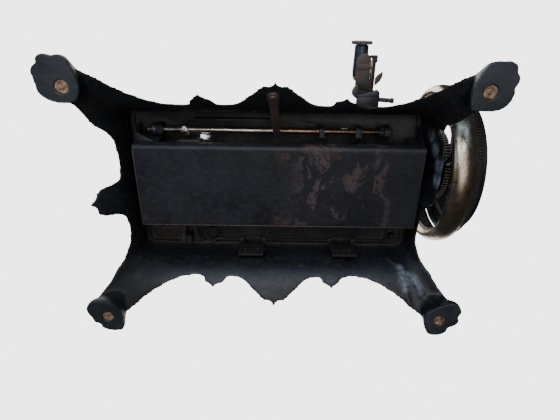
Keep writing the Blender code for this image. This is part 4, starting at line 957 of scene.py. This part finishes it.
hub, arms = make_spider()
web = turned([(0.0745, -0.0012), (0.0748, -0.0014), (0.0800, -0.0014), (0.0800, 0.0014), (0.0748, 0.0014), (0.0745, 0.0012)], (0.1812, WY, WZ), (1, 0, 0), 160)
boss = turned([(0.0150, 0.0), (0.0250, 0.0), (0.0290, 0.0006), (0.0318, 0.0020), (0.0336, 0.0044), (0.0344, 0.0075), (0.0345, 0.0110), (0.0341, 0.0138), (0.0331, 0.0146), (0.0150, 0.0146)],
              (0.1685, WY, WZ), (1, 0, 0), 96)
piece("spider_casting", joined(hub, web, boss, *arms), "gloss", "drive", "japanned_iron", "wheel_spider", angle=50)

groove = [(0.0052, -0.0060), (0.0155, -0.0060), (0.0164, -0.0052), (0.0175, -0.0026), (0.0190, -0.0018), (0.0590, -0.0016), (0.0615, -0.0022), (0.0640, -0.0036), (0.0660, -0.0041), (0.0725, -0.0041),
          (0.0736, -0.0037), (0.0739, -0.0029), (0.0722, -0.0008), (0.0716, 0.0), (0.0722, 0.0008), (0.0739, 0.0029), (0.0736, 0.0037), (0.0725, 0.0041), (0.0660, 0.0041), (0.0640, 0.0036),
          (0.0615, 0.0022), (0.0590, 0.0016), (0.0190, 0.0018), (0.0175, 0.0026), (0.0164, 0.0052), (0.0155, 0.0060), (0.0052, 0.0060)]
pulley = turned(groove, (0.2074, WY, WZ), (1, 0, 0), 128)
for k in range(5):
    a = 2 * math.pi * k / 5 + 0.90
    c = (WY + 0.0395 * math.cos(a), WZ + 0.0395 * math.sin(a))
    pulley = minus(pulley, rod((0.19, *c), (0.22, *c), 0.0160, 48, 0.0))
piece("belt_pulley", pulley, "japan", "drive", "japanned_iron", "belt_wheel", angle=35)
axle = union(rod((0.1370, WY, WZ), (0.2215, WY, WZ), 0.0049, 40), turned([(0, 0), (0.0080, 0.0), (0.0085, 0.0005), (0.0085, 0.0044), (0.0062, 0.0060), (0, 0.0062)], (0.2188, WY, WZ), (1, 0, 0), 6),
             rod((0.1340, WY, WZ), (0.1372, WY, WZ), 0.0085, 48))
piece("wheel_spindle", axle, "steel", "drive", "steel", "wheel_axle", angle=30)
ch = (WY, WZ + 0.0620)
crank = union(rod((0.2138, WY, WZ), (0.2185, WY, WZ), 0.0110, 56, 0.0008), rod((0.2138, *ch), (0.2185, *ch), 0.0070, 48, 0.0008),
              bevelled(prism([(WY - 0.0078, WZ + 0.004), (WY + 0.0078, WZ + 0.004), (WY + 0.0062, WZ + 0.020), (WY + 0.0052, WZ + 0.040), (WY + 0.0052, WZ + 0.0620),
                              (WY - 0.0052, WZ + 0.0620), (WY - 0.0052, WZ + 0.040), (WY - 0.0062, WZ + 0.020)], 0.2142, 0.2181, "x"), 0.0007, 3, 40))
crank = minus(crank, rod((0.20, WY, WZ), (0.23, WY, WZ), 0.0052, 40, 0.0))
crank = union(crank, rod((0.2150, *ch), (0.2560, *ch), 0.0024, 24), turned([(0, 0), (0.0042, 0.0), (0.0042, 0.0008), (0.0034, 0.0018), (0.0016, 0.0023), (0, 0.0023)], (0.2545, *ch), (1, 0, 0), 32))
piece("crank", crank, "nickel", "drive", "nickel", "crank_arm", angle=35)
knob = [(0.0028, 0.0), (0.0058, 0.0), (0.0064, 0.0004), (0.0070, 0.0014), (0.0070, 0.0024), (0.0064, 0.0034), (0.0061, 0.0046), (0.0064, 0.0066), (0.0073, 0.0096), (0.0085, 0.0132), (0.0096, 0.0172),
        (0.0103, 0.0212), (0.0105, 0.0245), (0.0102, 0.0280), (0.0094, 0.0308), (0.0084, 0.0328), (0.0072, 0.0341), (0.0058, 0.0348), (0.0028, 0.0348)]
piece("turned_grip", turned(knob, (0.2190, *ch), (1, 0, 0), 64), "wood", "handle", "wood", "crank_handle", angle=30)

# ------------------------------------------------------------ arm and head casting


def make_arm():
    rows = [(0.0960, 0.0938, .0350, .0300), (0.0960, 0.0965, .0345, .0296), (0.0960, 0.0990, .0318, .0272), (0.0961, 0.1050, .0272, .0238), (0.0962, 0.1120, .0245, .0217), (0.0970, 0.1300, .0205, .0185),
            (0.0975, 0.1550, .0195, .0172), (0.0950, 0.1760, .0205, .0175), (0.0870, 0.1930, .0215, .0178), (0.0740, 0.2040, .0205, .0175), (0.0560, 0.2085, .0185, .0165), (0.0250, 0.2080, .0165, .0152),
            (-0.0150, 0.2070, .0155, .0145), (-0.0500, 0.2066, .0160, .0148), (-0.0780, 0.2062, .0185, .0165), (-0.0860, 0.2062, .0195, .0172)]
    path = smooth_path([(x, WY, z) for x, z, a, b in rows], 4)
    width = smooth_path([(a, b, 0) for x, z, a, b in rows], 4)
    body = swept(path, ring(1.0, 1.0, 48), up=(0, 1, 0), scales=[(w.x, w.y) for w in width])
    foot = prism(rounded(0.0560, 0.1360, WY - 0.0330, WY + 0.0330, 0.018, 12), 0.0938, 0.0990)
    boss = turned([(0, 0.0), (0.0170, 0.0), (0.0185, 0.003), (0.0187, 0.010), (0.0187, 0.024), (0.0180, 0.0285), (0.0160, 0.0320), (0.0130, 0.0330), (0, 0.0330)], (0.0900, WY, SHAFT_Z), (1, 0, 0), 48)
    block_ = prism(rounded(WY - 0.0185, WY + 0.0255, 0.1640, 0.2330, 0.010, 10), -0.1240, -0.0820, "x")
    o = temp(joined(body, foot, boss, block_))
    k = o.modifiers.new("r", "REMESH")
    k.mode, k.voxel_size = "VOXEL", 0.0012
    m = baked(o)
    b = bmesh.new()
    b.from_mesh(m)
    free = [v for v in b.verts if v.co.x > -0.1236 and v.co.z > 0.0942]
    for _ in range(6):
        bmesh.ops.smooth_vert(b, verts=free, factor=0.5, use_axis_x=True, use_axis_y=True, use_axis_z=True)
    b.to_mesh(m)
    b.free()
    m = minus(m, prism(rounded(WY - 0.0150, WY + 0.0215, 0.1740, 0.2270, 0.006), -0.1300, -0.0900, "x"),
              block(-0.1205, -0.1155, WY - 0.0300, WY - 0.0100, 0.1940, 0.2215),
              rod((-0.20, WY, SHAFT_Z), (0.20, WY, SHAFT_Z), 0.0046, 32, 0.0),
              rod((-0.1050, WY, 0.10), (-0.1050, WY, 0.30), 0.0031, 32, 0.0),
              rod((-0.1050, 0.0005, 0.10), (-0.1050, 0.0005, 0.30), 0.0031, 32, 0.0),
              block(-0.1150, -0.0950, -0.0025, 0.0300, 0.1900, 0.2080))
    return m


piece("arm_iron", make_arm(), "japan", "head", "japanned_iron", "arm_casting", angle=40)

# ------------------------------------------------------------ parts whose edges are only broken
eased("bed_plate", 0.0006, 3, mat="bedblack", angle=40)
fill = [bevelled(block(hx + s * (HALF - 0.0038), hx + s * (HALF + 0.0012), 0.0728, 0.0850, 0.0851, 0.0925), 0.0004, 2) for hx in HINGE_XS for s in (-1, 1)]
groove_path = smooth_path([(-0.0985, 0.0540, 0.0846), (-0.0935, 0.0650, 0.0846), (-0.0895, 0.0730, 0.0846), (-0.0850, 0.0778, 0.0846), (-0.0790, 0.0790, 0.0846),
                           (-0.0735, 0.0776, 0.0846), (-0.0700, 0.0750, 0.0846), (-0.0660, 0.0738, 0.0846), (-0.0600, 0.0736, 0.0846)], 6)
piece("bed_back_bead", joined(swept(groove_path, ring(0.0013, 0.0011, 14), up=(0, 0, 1)), *fill), "bedblack", "head", "japanned_iron")
LEAF_N = Vector((0.168, -0.211, -0.963)).normalized()
leaf_u = Vector((1, 0, 0)) - LEAF_N * LEAF_N.x
leaf_u.normalize()
leaf_v = LEAF_N.cross(leaf_u).normalized()
c0 = Vector((-0.0766, -0.0498, 0.0876))
quad = [(-0.0068, -0.0050), (0.0046, -0.0050), (0.0030, -0.0012), (0.0060, 0.0008), (0.0042, 0.0050), (-0.0040, 0.0050)]
nq = len(quad)
lv = [c0 + leaf_u * a + leaf_v * b + LEAF_N * c for c in (-0.0004, 0.0004) for a, b in quad]
lf = [list(range(nq))[::-1], [nq + i for i in range(nq)]] + [[i, (i + 1) % nq, nq + (i + 1) % nq, nq + i] for i in range(nq)]
leaf_mesh = new_mesh(lv, lf)
piece("slide_catch_leaf", bevelled(leaf_mesh, 0.0002, 2, 30), "mirror", "head", "steel")
edge_path = [(BX0 + 0.0004, BY0 + 0.0055, BZ0 + 0.0003), (BX0 + 0.0004, BY1 - 0.0004, BZ0 + 0.0003), (BX1 - 0.0004, BY1 - 0.0004, BZ0 + 0.0003)]
piece("box_hem", joined(rod(edge_path[0], edge_path[1], 0.0006, 10), rod(edge_path[1], edge_path[2], 0.0006, 10)), "winder", "head", "box_black")
eased("shuttle", 0.0002, 2, mat="dark")
for nd in ("needle_plate", "slide_plate_left", "slide_plate_right"):
    eased(nd, 0.0003, 2, mat="plate")
for nd, w in (("face_plate", 0.0003), ("wheel_stand", 0.0009), ("presser_foot", 0.0003),
              ("take_up_lever", 0.0003), ("presser_lifter", 0.0004), ("shuttle_carrier", 0.0004), ("feed_bar", 0.0004), ("bed_hinge_left", 0.0003), ("bed_hinge_right", 0.0003)):
    eased(nd, w, 2)

# ------------------------------------------------------------ feed rock shaft and what sits on it
piece("rock_shaft", rod((-0.1350, RY, RZ), (0.1230, RY, RZ), 0.0028, 40), "shaft", "rock", "steel", "feed_rock_shaft", angle=40)


def collar(x0, x1, r, e=0.0006, n=40):
    w = x1 - x0
    return turned([(0.0029, 0), (r - e, 0), (r - e * 0.3, e * 0.3), (r, e), (r, w - e), (r - e * 0.3, w - e * 0.3), (r - e, w), (0.0029, w)], (x0, RY, RZ), (1, 0, 0), n)


def screw(p, n_dir, r, h, slot_dir):
    """A slotted cheese head standing on a surface."""
    p, d = Vector(p), Vector(n_dir).normalized()
    s = Vector(slot_dir)
    s = (s - d * s.dot(d)).normalized()
    t = d.cross(s)
    head = turned([(0, -0.0006), (r, -0.0006), (r, h * 0.6), (r * 0.86, h * 0.92), (r * 0.5, h), (0, h)], p, d, 28)
    w = r * 0.16
    pts = []
    for c in (h * 0.45, h * 1.6):
        pts += [p + s * a + t * b + d * c for a, b in ((-r * 1.2, -w), (r * 1.2, -w), (r * 1.2, w), (-r * 1.2, w))]
    cut = new_mesh(pts, [[0, 1, 2, 3], [4, 7, 6, 5], [0, 4, 5, 1], [1, 5, 6, 2], [2, 6, 7, 3], [3, 7, 4, 0]])
    return minus(head, cut)


piece("collar_left", joined(collar(-0.1300, -0.1250, 0.0062), screw((-0.1275, RY - 0.004, RZ - 0.0045), (0, -0.6, -0.8), 0.0016, 0.0012, (1, 0, 0))), "blued", "rock", "blued_steel", "shaft_collar_left")
piece("collar_bright", joined(collar(-0.0993, -0.0917, 0.0058, 0.0012), screw((-0.0955, RY - 0.0033, RZ - 0.0046), (0, -0.5, -0.86), 0.0022, 0.0014, (1, 0.6, 0))), "nickel", "rock", "nickel", "shaft_collar_bright")
for nm, x, w in (("middle", 0.0485, 0.0060), ("right", 0.0870, 0.0070)):
    lobe = bevelled(prism([(RY - 0.002, RZ - 0.0052), (RY + 0.0052, RZ - 0.0072), (RY + 0.0064, RZ - 0.0055), (RY + 0.0062, RZ + 0.0010), (RY + 0.0020, RZ + 0.0030)], x - w / 2, x + w / 2, "x"), 0.0005, 2, 20)
    body = union(collar(x - w / 2, x + w / 2, 0.0058, 0.0008), lobe)
    piece("strap_" + nm, joined(body, screw((x, RY + 0.0030, RZ - 0.0062), (0, -0.25, -0.97), 0.0017, 0.0012, (1, 0.3, 0))), "dark", "rock", "dark_steel", "feed_strap_" + nm)
lug = union(collar(0.1082, 0.1140, 0.0056, 0.0010), rod((0.1110, RY, RZ), (0.1110, RY - 0.0055, RZ - 0.0060), 0.0023, 24))
piece("end_collar", joined(lug, screw((0.1110, RY - 0.0054, RZ - 0.0059), (0, -0.67, -0.74), 0.0021, 0.0012, (1, 0.4, 0))), "dark", "rock", "dark_steel", "shaft_end_collar")

# ------------------------------------------------------------ latch, hinges and cover plate
LV = LN.cross(LU).normalized()


def on_latch(a, b, c):
    return LP + LU * a + LV * b + LN * c


half = [(-0.0056, 0.0), (-0.0052, 0.0022), (-0.0040, 0.0040), (-0.0020, 0.0052), (0.0006, 0.0056), (0.0034, 0.0052), (0.0070, 0.0046), (0.0120, 0.0043), (0.0400, 0.0040), (0.0580, 0.0036), (0.0604, 0.0024), (0.0608, 0.0)]
loop = half + [(a, -b) for a, b in half[::-1][1:-1]]
n = len(loop)
v = [on_latch(a, b, -0.0012) for a, b in loop] + [on_latch(a, b, 0.0012) for a, b in loop]
f = [list(range(n)), list(range(n, 2 * n))[::-1]] + [[i, (i + 1) % n, n + (i + 1) % n, n + i] for i in range(n)]
piece("latch_bar", bevelled(minus(new_mesh(v, f), rod(LP - LN * 0.01, LP + LN * 0.01, 0.0019, 24, 0.0)), 0.0005, 3, 40), "latch", "latch", "brown_steel", "head_latch")
piece("latch_bolt", joined(screw(LP - LN * 0.0013, -LN, 0.0036, 0.0020, LU * 0.7 + LV), rod(LP - LN * 0.0018, LP + LN * 0.0064, 0.0016, 20)), "latch", "base", "brown_steel", "latch_screw")

for side, hx in (("left", HINGE_XS[0]), ("right", HINGE_XS[1])):
    x0, x1 = hx - HALF, hx + HALF
    leaf = prism(rounded(x0, x1, 0.0535, 0.0805, 0.0012, 3), 0.0762, 0.0788, "y")
    leaf = union(bevelled(leaf, 0.0004, 2, 60), bevelled(block(x0 + 0.0005, x1 - 0.0005, 0.0765, 0.0900, 0.0782, 0.0803), 0.0004, 2), bevelled(block(hx - 0.0046, hx + 0.0046, 0.0873, 0.0917, 0.0795, 0.0895), 0.0003, 2),
                 rod((hx - 0.0046, 0.0895, 0.0895), (hx + 0.0046, 0.0895, 0.0895), 0.0034, 32))
    leaf = minus(leaf, rod((x0, 0.0895, 0.0895), (x1, 0.0895, 0.0895), 0.00172, 24, 0.0))
    rivets = [turned([(0, -0.0013), (0.0010, -0.0011), (0.0017, -0.0004), (0.0019, 0.0004), (0, 0.0004)], (hx + dx, 0.0763, 0.0650), (0, 1, 0), 20) for dx in (-0.0072, 0.0072)]
    piece("leaf_" + side, joined(leaf, *rivets), "dark", "base", "dark_steel", "hinge_leaf_" + side)

cover = union(bevelled(prism(rounded(-0.1440, -0.1050, 0.0480, 0.0765, 0.002, 4), 0.0850, 0.0868), 0.0004, 2), bevelled(block(-0.1115, -0.1050, 0.0480, 0.0765, 0.0790, 0.0860), 0.0006, 2),
              bevelled(block(-0.1110, -0.1056, 0.0640, 0.0760, 0.0765, 0.0800), 0.0006, 2))
piece("cover_plate", joined(cover, screw((-0.1340, 0.0560, 0.0850), (0, 0, -1), 0.0026, 0.0012, (1, 1, 0)), screw((-0.1200, 0.0700, 0.0850), (0, 0, -1), 0.0026, 0.0012, (1, -0.4, 0))),
      "greasy", "head", "dark_steel", "rear_cover_plate")

# ------------------------------------------------------------ shuttle lever
lp = smooth_path([(-0.0740, 0.0660, 0.0864), (-0.0795, 0.0600, 0.0864), (-0.0840, 0.0500, 0.0864), (-0.0905, 0.0300, 0.0864), (-0.0930, 0.0100, 0.0864), (-0.0935, -0.0250, 0.0864)], 6)
lever = union(swept(lp, bar(0.0042, 0.0024, 0.0006), up=(0, 0, 1)), turned([(0, 0), (0.0060, 0), (0.0066, 0.0005), (0.0066, 0.0019), (0.0060, 0.0024), (0, 0.0024)], (-0.0740, 0.0660, 0.0852), (0, 0, 1), 48))
piece("lever_bar", lever, "dark", "lever", "steel", "shuttle_lever", angle=35)

# ------------------------------------------------------------ needle end, tension and small turned parts
NX, PY = -0.1050, 0.0005
piece("needle_rod", rod((NX, WY, 0.1240), (NX, WY, 0.2500), 0.0029, 40), "nickel", "needle_set", "nickel", "needle_bar")
piece("presser_rod", turned([(0, 0), (0.0025, 0), (0.0029, 0.0004), (0.0029, 0.1290), (0.0050, 0.1295), (0.0054, 0.1305), (0.0054, 0.1345), (0.0048, 0.1356), (0, 0.1360)], (NX, PY, 0.1120), (0, 0, 1), 40),
      "nickel", "presser", "nickel", "presser_bar")
clamp = union(rod((NX, WY, 0.1245), (NX, WY, 0.1325), 0.0050, 40, 0.0005), rod((NX, WY, 0.1285), (NX - 0.0110, WY, 0.1285), 0.0022, 28),
              turned([(0, 0), (0.0032, 0), (0.0034, 0.0004), (0.0034, 0.0030), (0.0030, 0.0036), (0, 0.0036)], (NX - 0.0078, WY, 0.1285), (-1, 0, 0), 20))
piece("clamp_body", minus(clamp, rod((NX, WY, 0.11), (NX, WY, 0.15), 0.0030, 32, 0.0)), "steel", "needle_set", "steel", "needle_clamp")
piece("spool_spindle", turned([(0, 0), (0.0048, 0), (0.0053, 0.0006), (0.0052, 0.0022), (0.0030, 0.0034), (0.0022, 0.0048), (0.0020, 0.0400), (0.0017, 0.0432), (0.0009, 0.0450), (0, 0.0452)], (0.0150, WY, SHAFT_Z + 0.0190), (0, 0, 1), 28),
      "steel", "head", "steel", "spool_pin")
piece("tension_plates", turned([(0, 0), (0.0080, 0), (0.0086, 0.0004), (0.0070, 0.0009), (0.0086, 0.0014), (0.0080, 0.0018), (0.0032, 0.0020), (0.0030, 0.0050), (0, 0.0050)], (-0.0600, WY - 0.0155, SHAFT_Z), (0, -1, 0), 56),
      "nickel", "head", "nickel", "tension_disc")
knurl = []
for k in range(36):
    a = 2 * math.pi * k / 36
    for da, rr in ((-0.25, 0.0054), (0.25, 0.0059)):
        knurl.append((-0.0600 + rr * math.cos(a + da * math.pi / 18), SHAFT_Z + rr * math.sin(a + da * math.pi / 18)))
piece("thumb_nut", union(prism(knurl, WY - 0.0278, WY - 0.0218, "y"), turned([(0, 0), (0.0050, 0), (0.0042, 0.0014), (0.0020, 0.0020), (0, 0.0020)], (-0.0600, WY - 0.0275, SHAFT_Z), (0, -1, 0), 32)), "nickel", "tension", "nickel", "tension_nut")
piece("stitch_knob", turned([(0, 0), (0.0032, 0), (0.0032, 0.0058), (0.0070, 0.0068), (0.0079, 0.0076), (0.0081, 0.0090), (0.0081, 0.0116), (0.0074, 0.0128), (0.0058, 0.0134), (0, 0.0135)], (0.1220, 0.0500, 0.0938), (0, 0, 1), 48),
      "nickel", "stitch", "nickel", "stitch_screw")
piece("face_screws", joined(*[screw((-0.1261, WY + 0.0035, z), (-1, 0, 0), 0.0033, 0.0016, (0, 1, 0.5)) for z in (0.1695, 0.2275)]), "steel", "head", "nickel")

# ------------------------------------------------------------ bobbin winder
WX = 0.0875
teeth = []
for k in range(26):
    for da, rr in ((-0.30, 0.0094), (-0.14, 0.0108), (0.14, 0.0108), (0.30, 0.0094)):
        a = 2 * math.pi * (k + da) / 26
        teeth.append((WX + rr * math.cos(a), 0.1080 + rr * math.sin(a)))
spool = turned([(0, 0), (0.0024, 0), (0.0024, 0.0160), (0.0064, 0.0172), (0.0073, 0.0190), (0.0076, 0.0240), (0.0074, 0.0330), (0.0071, 0.0490), (0.0030, 0.0508), (0, 0.0508)], (WX, -0.0945, 0.1080), (0, -1, 0), 48)
piece("winder_spool", spool, "blued", "winder_spin", "blued_steel", "winder_spindle", angle=35)
piece("winder_star", bevelled(prism(teeth, -0.1478, -0.1449, "y"), 0.0002, 1, 40), "toothed", "winder_spin", "blued_steel", angle=30)
tongue = [(0.0826, -0.0930), (0.0974, -0.0930), (0.0972, -0.1290)] + [(0.0898 + 0.0074 * math.cos(math.radians(t)), -0.1290 - 0.0080 * math.sin(math.radians(t))) for t in range(15, 180, 15)] + [(0.0824, -0.1290)]
frame_w = bevelled(prism(tongue, 0.0988, 0.1008), 0.0004, 2, 50)
frame_w = union(frame_w, bevelled(block(0.0850, 0.0975, -0.0985, -0.0950, 0.1000, 0.1130), 0.0006, 2), bevelled(block(0.0815, 0.0935, -0.1130, -0.1095, 0.0995, 0.1130), 0.0006, 2),
                bevelled(prism(rounded(0.0827, 0.0971, -0.1262, -0.1208, 0.0012, 3), 0.0980, 0.0992), 0.0003, 2, 50))
frame_w = minus(frame_w, rod((WX, -0.20, 0.1080), (WX, -0.06, 0.1080), 0.0026, 24, 0.0))
piece("winder_tongue", frame_w, "winder", "winder", "brown_steel", "winder_frame")
strap = bevelled(prism(rounded(0.0823, 0.0978, -0.1098, -0.1006, 0.0010, 3), 0.0972, 0.0990), 0.0004, 2, 50)
piece("winder_strap", joined(strap, screw((0.0900, -0.1056, 0.0973), (0, 0, -1), 0.0030, 0.0016, (1, 0.9, 0))), "dark", "winder", "dark_steel")
hook = union(bevelled(block(0.0955, 0.1034, -0.1352, -0.1325, 0.0985, 0.1012), 0.0003, 2), bevelled(block(0.1008, 0.1034, -0.1352, -0.1282, 0.0985, 0.1012), 0.0003, 2), bevelled(block(0.0975, 0.1012, -0.1345, -0.1300, 0.0987, 0.1008), 0.0003, 2))
piece("winder_hook", joined(hook, rod((0.1010, -0.0955, 0.0996), (0.1010, -0.1320, 0.0996), 0.0013, 20)), "dark", "winder", "dark_steel", "winder_rod")
piece("winder_slide_rod", rod((0.0986, -0.0955, 0.0996), (0.0986, -0.1320, 0.0996), 0.0012, 20), "shaft", "winder", "steel")
blade = [(.1026, -.1128), (.1050, -.1160), (.1094, -.1192), (.1103, -.1186), (.1103, -.1145), (.1084, -.1100), (.1050, -.1066), (.1026, -.1050)]
piece("winder_blade", bevelled(prism(blade, 0.0984, 0.0996), 0.0003, 2, 60), "winder", "winder_catch", "brown_steel", "winder_lever")
lobe_w = smooth_loop([(0.0850, -0.1065), (0.0822, -0.1050), (0.0802, -0.1022), (0.0794, -0.0990), (0.0800, -0.0960), (0.0820, -0.0938), (0.0850, -0.0932)], 4)
piece("winder_leaf_spring", bevelled(prism(lobe_w, 0.0935, 0.0987), 0.0006, 2, 50), "winder", "winder", "dark_steel", "winder_spring", angle=35)
barrel = []
for k in range(30):
    a = 2 * math.pi * k / 30
    for da, rr in ((-0.22, 0.0043), (0.22, 0.0047)):
        barrel.append((-0.0942 + rr * math.cos(a + da * math.pi / 15), 0.1004 + rr * math.sin(a + da * math.pi / 15)))
bk = union(bevelled(block(0.0860, 0.1085, -0.0940, -0.0700, 0.0938, 0.0975), 0.0006, 2),
           bevelled(prism([(0.0850, -0.0900), (0.0850, -0.0962), (0.1060, -0.1010), (0.1078, -0.0998), (0.1078, -0.0850), (0.0850, -0.0850)], 0.0940, 0.1002), 0.0008, 3))
piece("winder_bracket_iron", joined(bk, bevelled(prism(barrel, 0.0860, 0.1062, "x"), 0.0003, 1, 50), turned([(0, 0), (0.0046, 0), (0.0052, 0.0008), (0.0052, 0.0022), (0.0044, 0.0030), (0, 0.0032)], (0.1060, -0.0942, 0.1004), (1, 0, 0), 32)),
      "knurl", "head", "dark_steel", "winder_bracket", angle=35)
piece("winder_stop_pin", turned([(0, 0), (0.0024, 0), (0.0024, 0.0120), (0.0020, 0.0126), (0.0020, 0.0134), (0.0028, 0.0140), (0.0028, 0.0172), (0.0024, 0.0178), (0, 0.0178)], (0.1075, -0.0905, 0.1000), (1, 0.06, 0), 28),
      "winder", "head", "brown_steel")

# ------------------------------------------------------------ foot plugs


def make_plug(cx, cy, seed):
    rings = []
    for r, z in ((0.0, 0.0016), (0.0014, 0.0012), (0.0028, 0.0018), (0.0042, 0.0010), (0.0055, 0.0012), (0.0063, 0.0022), (0.0064, 0.0056), (0.0, 0.0058)):
        rings.append((r, z))
    m = turned(rings, (cx, cy, 0), (0, 0, 1), 36)
    for v in m.vertices:
        if v.co.z < 0.003:
            v.co.z = max(0.0004, v.co.z + 0.0009 * noise.noise((v.co + Vector((seed, 0, 0))) * 420))
    return m


for nm, sx, sy in (("front_left", -1, -1), ("front_right", 1, -1), ("rear_left", -1, 1), ("rear_right", 1, 1)):
    hx, hy = HOLES[(sx, sy)]
    piece("plug_" + nm, make_plug(hx, hy, sx + 2 * sy), "plug", "base", "plug", "foot_plug_" + nm, angle=35)

# ------------------------------------------------------------ stage and light
me = bpy.data.meshes.new("floor")
me.from_pydata([(-4, -4, -0.0002), (4, -4, -0.0002), (4, 4, -0.0002), (-4, 4, -0.0002)], [], [(0, 1, 2, 3)])
floor = bpy.data.objects.new("floor", me)
bpy.context.scene.collection.objects.link(floor)
fm = bpy.data.materials.new("floor")
fm.use_nodes = True
ft = fm.node_tree
fp = ft.nodes["Principled BSDF"]
fp.inputs["Base Color"].default_value = (0.80, 0.80, 0.79, 1)
fp.inputs["Roughness"].default_value = 0.9
geo = ft.nodes.new("ShaderNodeNewGeometry")
tr = ft.nodes.new("ShaderNodeBsdfTransparent")
mx = ft.nodes.new("ShaderNodeMixShader")
ft.links.new(geo.outputs["Backfacing"], mx.inputs[0])
ft.links.new(fp.outputs[0], mx.inputs[1])
ft.links.new(tr.outputs[0], mx.inputs[2])
ft.links.new(mx.outputs[0], ft.nodes["Material Output"].inputs["Surface"])
me.materials.append(fm)
floor.visible_shadow = False
floor.visible_diffuse = False
floor.visible_glossy = False

world = bpy.data.worlds.new("world")
bpy.context.scene.world = world
world.use_nodes = True
wt = world.node_tree
bg = wt.nodes["Background"]
bg.inputs["Color"].default_value = (0.93, 0.96, 1.0, 1)
bg.inputs["Strength"].default_value = 0.045
bg2 = wt.nodes.new("ShaderNodeBackground")
bg2.inputs["Color"].default_value = (1, 1, 1, 1)
bg2.inputs["Strength"].default_value = 3.8
lp = wt.nodes.new("ShaderNodeLightPath")
wm = wt.nodes.new("ShaderNodeMixShader")
wt.links.new(lp.outputs["Is Camera Ray"], wm.inputs[0])
wt.links.new(bg.outputs[0], wm.inputs[1])
wt.links.new(bg2.outputs[0], wm.inputs[2])
wt.links.new(wm.outputs[0], wt.nodes["World Output"].inputs["Surface"])


def area(name, loc, target, size, power, color=(1, 1, 1)):
    d = bpy.data.lights.new(name, "AREA")
    d.shape, d.size, d.size_y = "RECTANGLE", size[0], size[1]
    d.energy, d.color = power, color
    o = bpy.data.objects.new(name, d)
    o.location = loc
    o.rotation_mode = "QUATERNION"
    o.rotation_quaternion = (Vector(target) - Vector(loc)).to_track_quat("-Z", "Y")
    bpy.context.scene.collection.objects.link(o)
    return o


area("key_below_left", (-0.40, -0.72, -0.82), (0, 0, 0.06), (0.34, 0.60), 3.1, (0.90, 0.95, 1.0))
area("key_below_right", (0.16, -0.98, -0.92), (0, 0, 0.06), (0.30, 0.45), 3.2, (0.86, 0.93, 1.0))
area("key_front", (0.10, -1.20, -0.50), (0, 0, 0.05), (1.3, 0.30), 3.2, (0.45, 0.68, 1.0))
area("fill_below", (0.15, -0.25, -1.30), (0, 0, 0.05), (0.9, 0.7), 3.1, (1.0, 0.97, 0.95))
area("fill_left", (-1.15, -0.35, -0.50), (0, 0, 0.05), (0.4, 0.8), 1.6, (0.62, 0.78, 1.0))
sun = bpy.data.lights.new("sky_soft", "SUN")
sun.energy, sun.angle = 0.5, 0.6
sun_o = bpy.data.objects.new("sky_soft", sun)
sun_o.rotation_euler = (-0.75, 0.2, 0.0)
bpy.context.scene.collection.objects.link(sun_o)
area("top_soft", (-0.5, -0.5, 1.6), (0, 0, 0.1), (1.4, 1.4), 20)
area("top_back", (0.6, 1.2, 1.3), (0, 0, 0.1), (1.2, 1.2), 7)
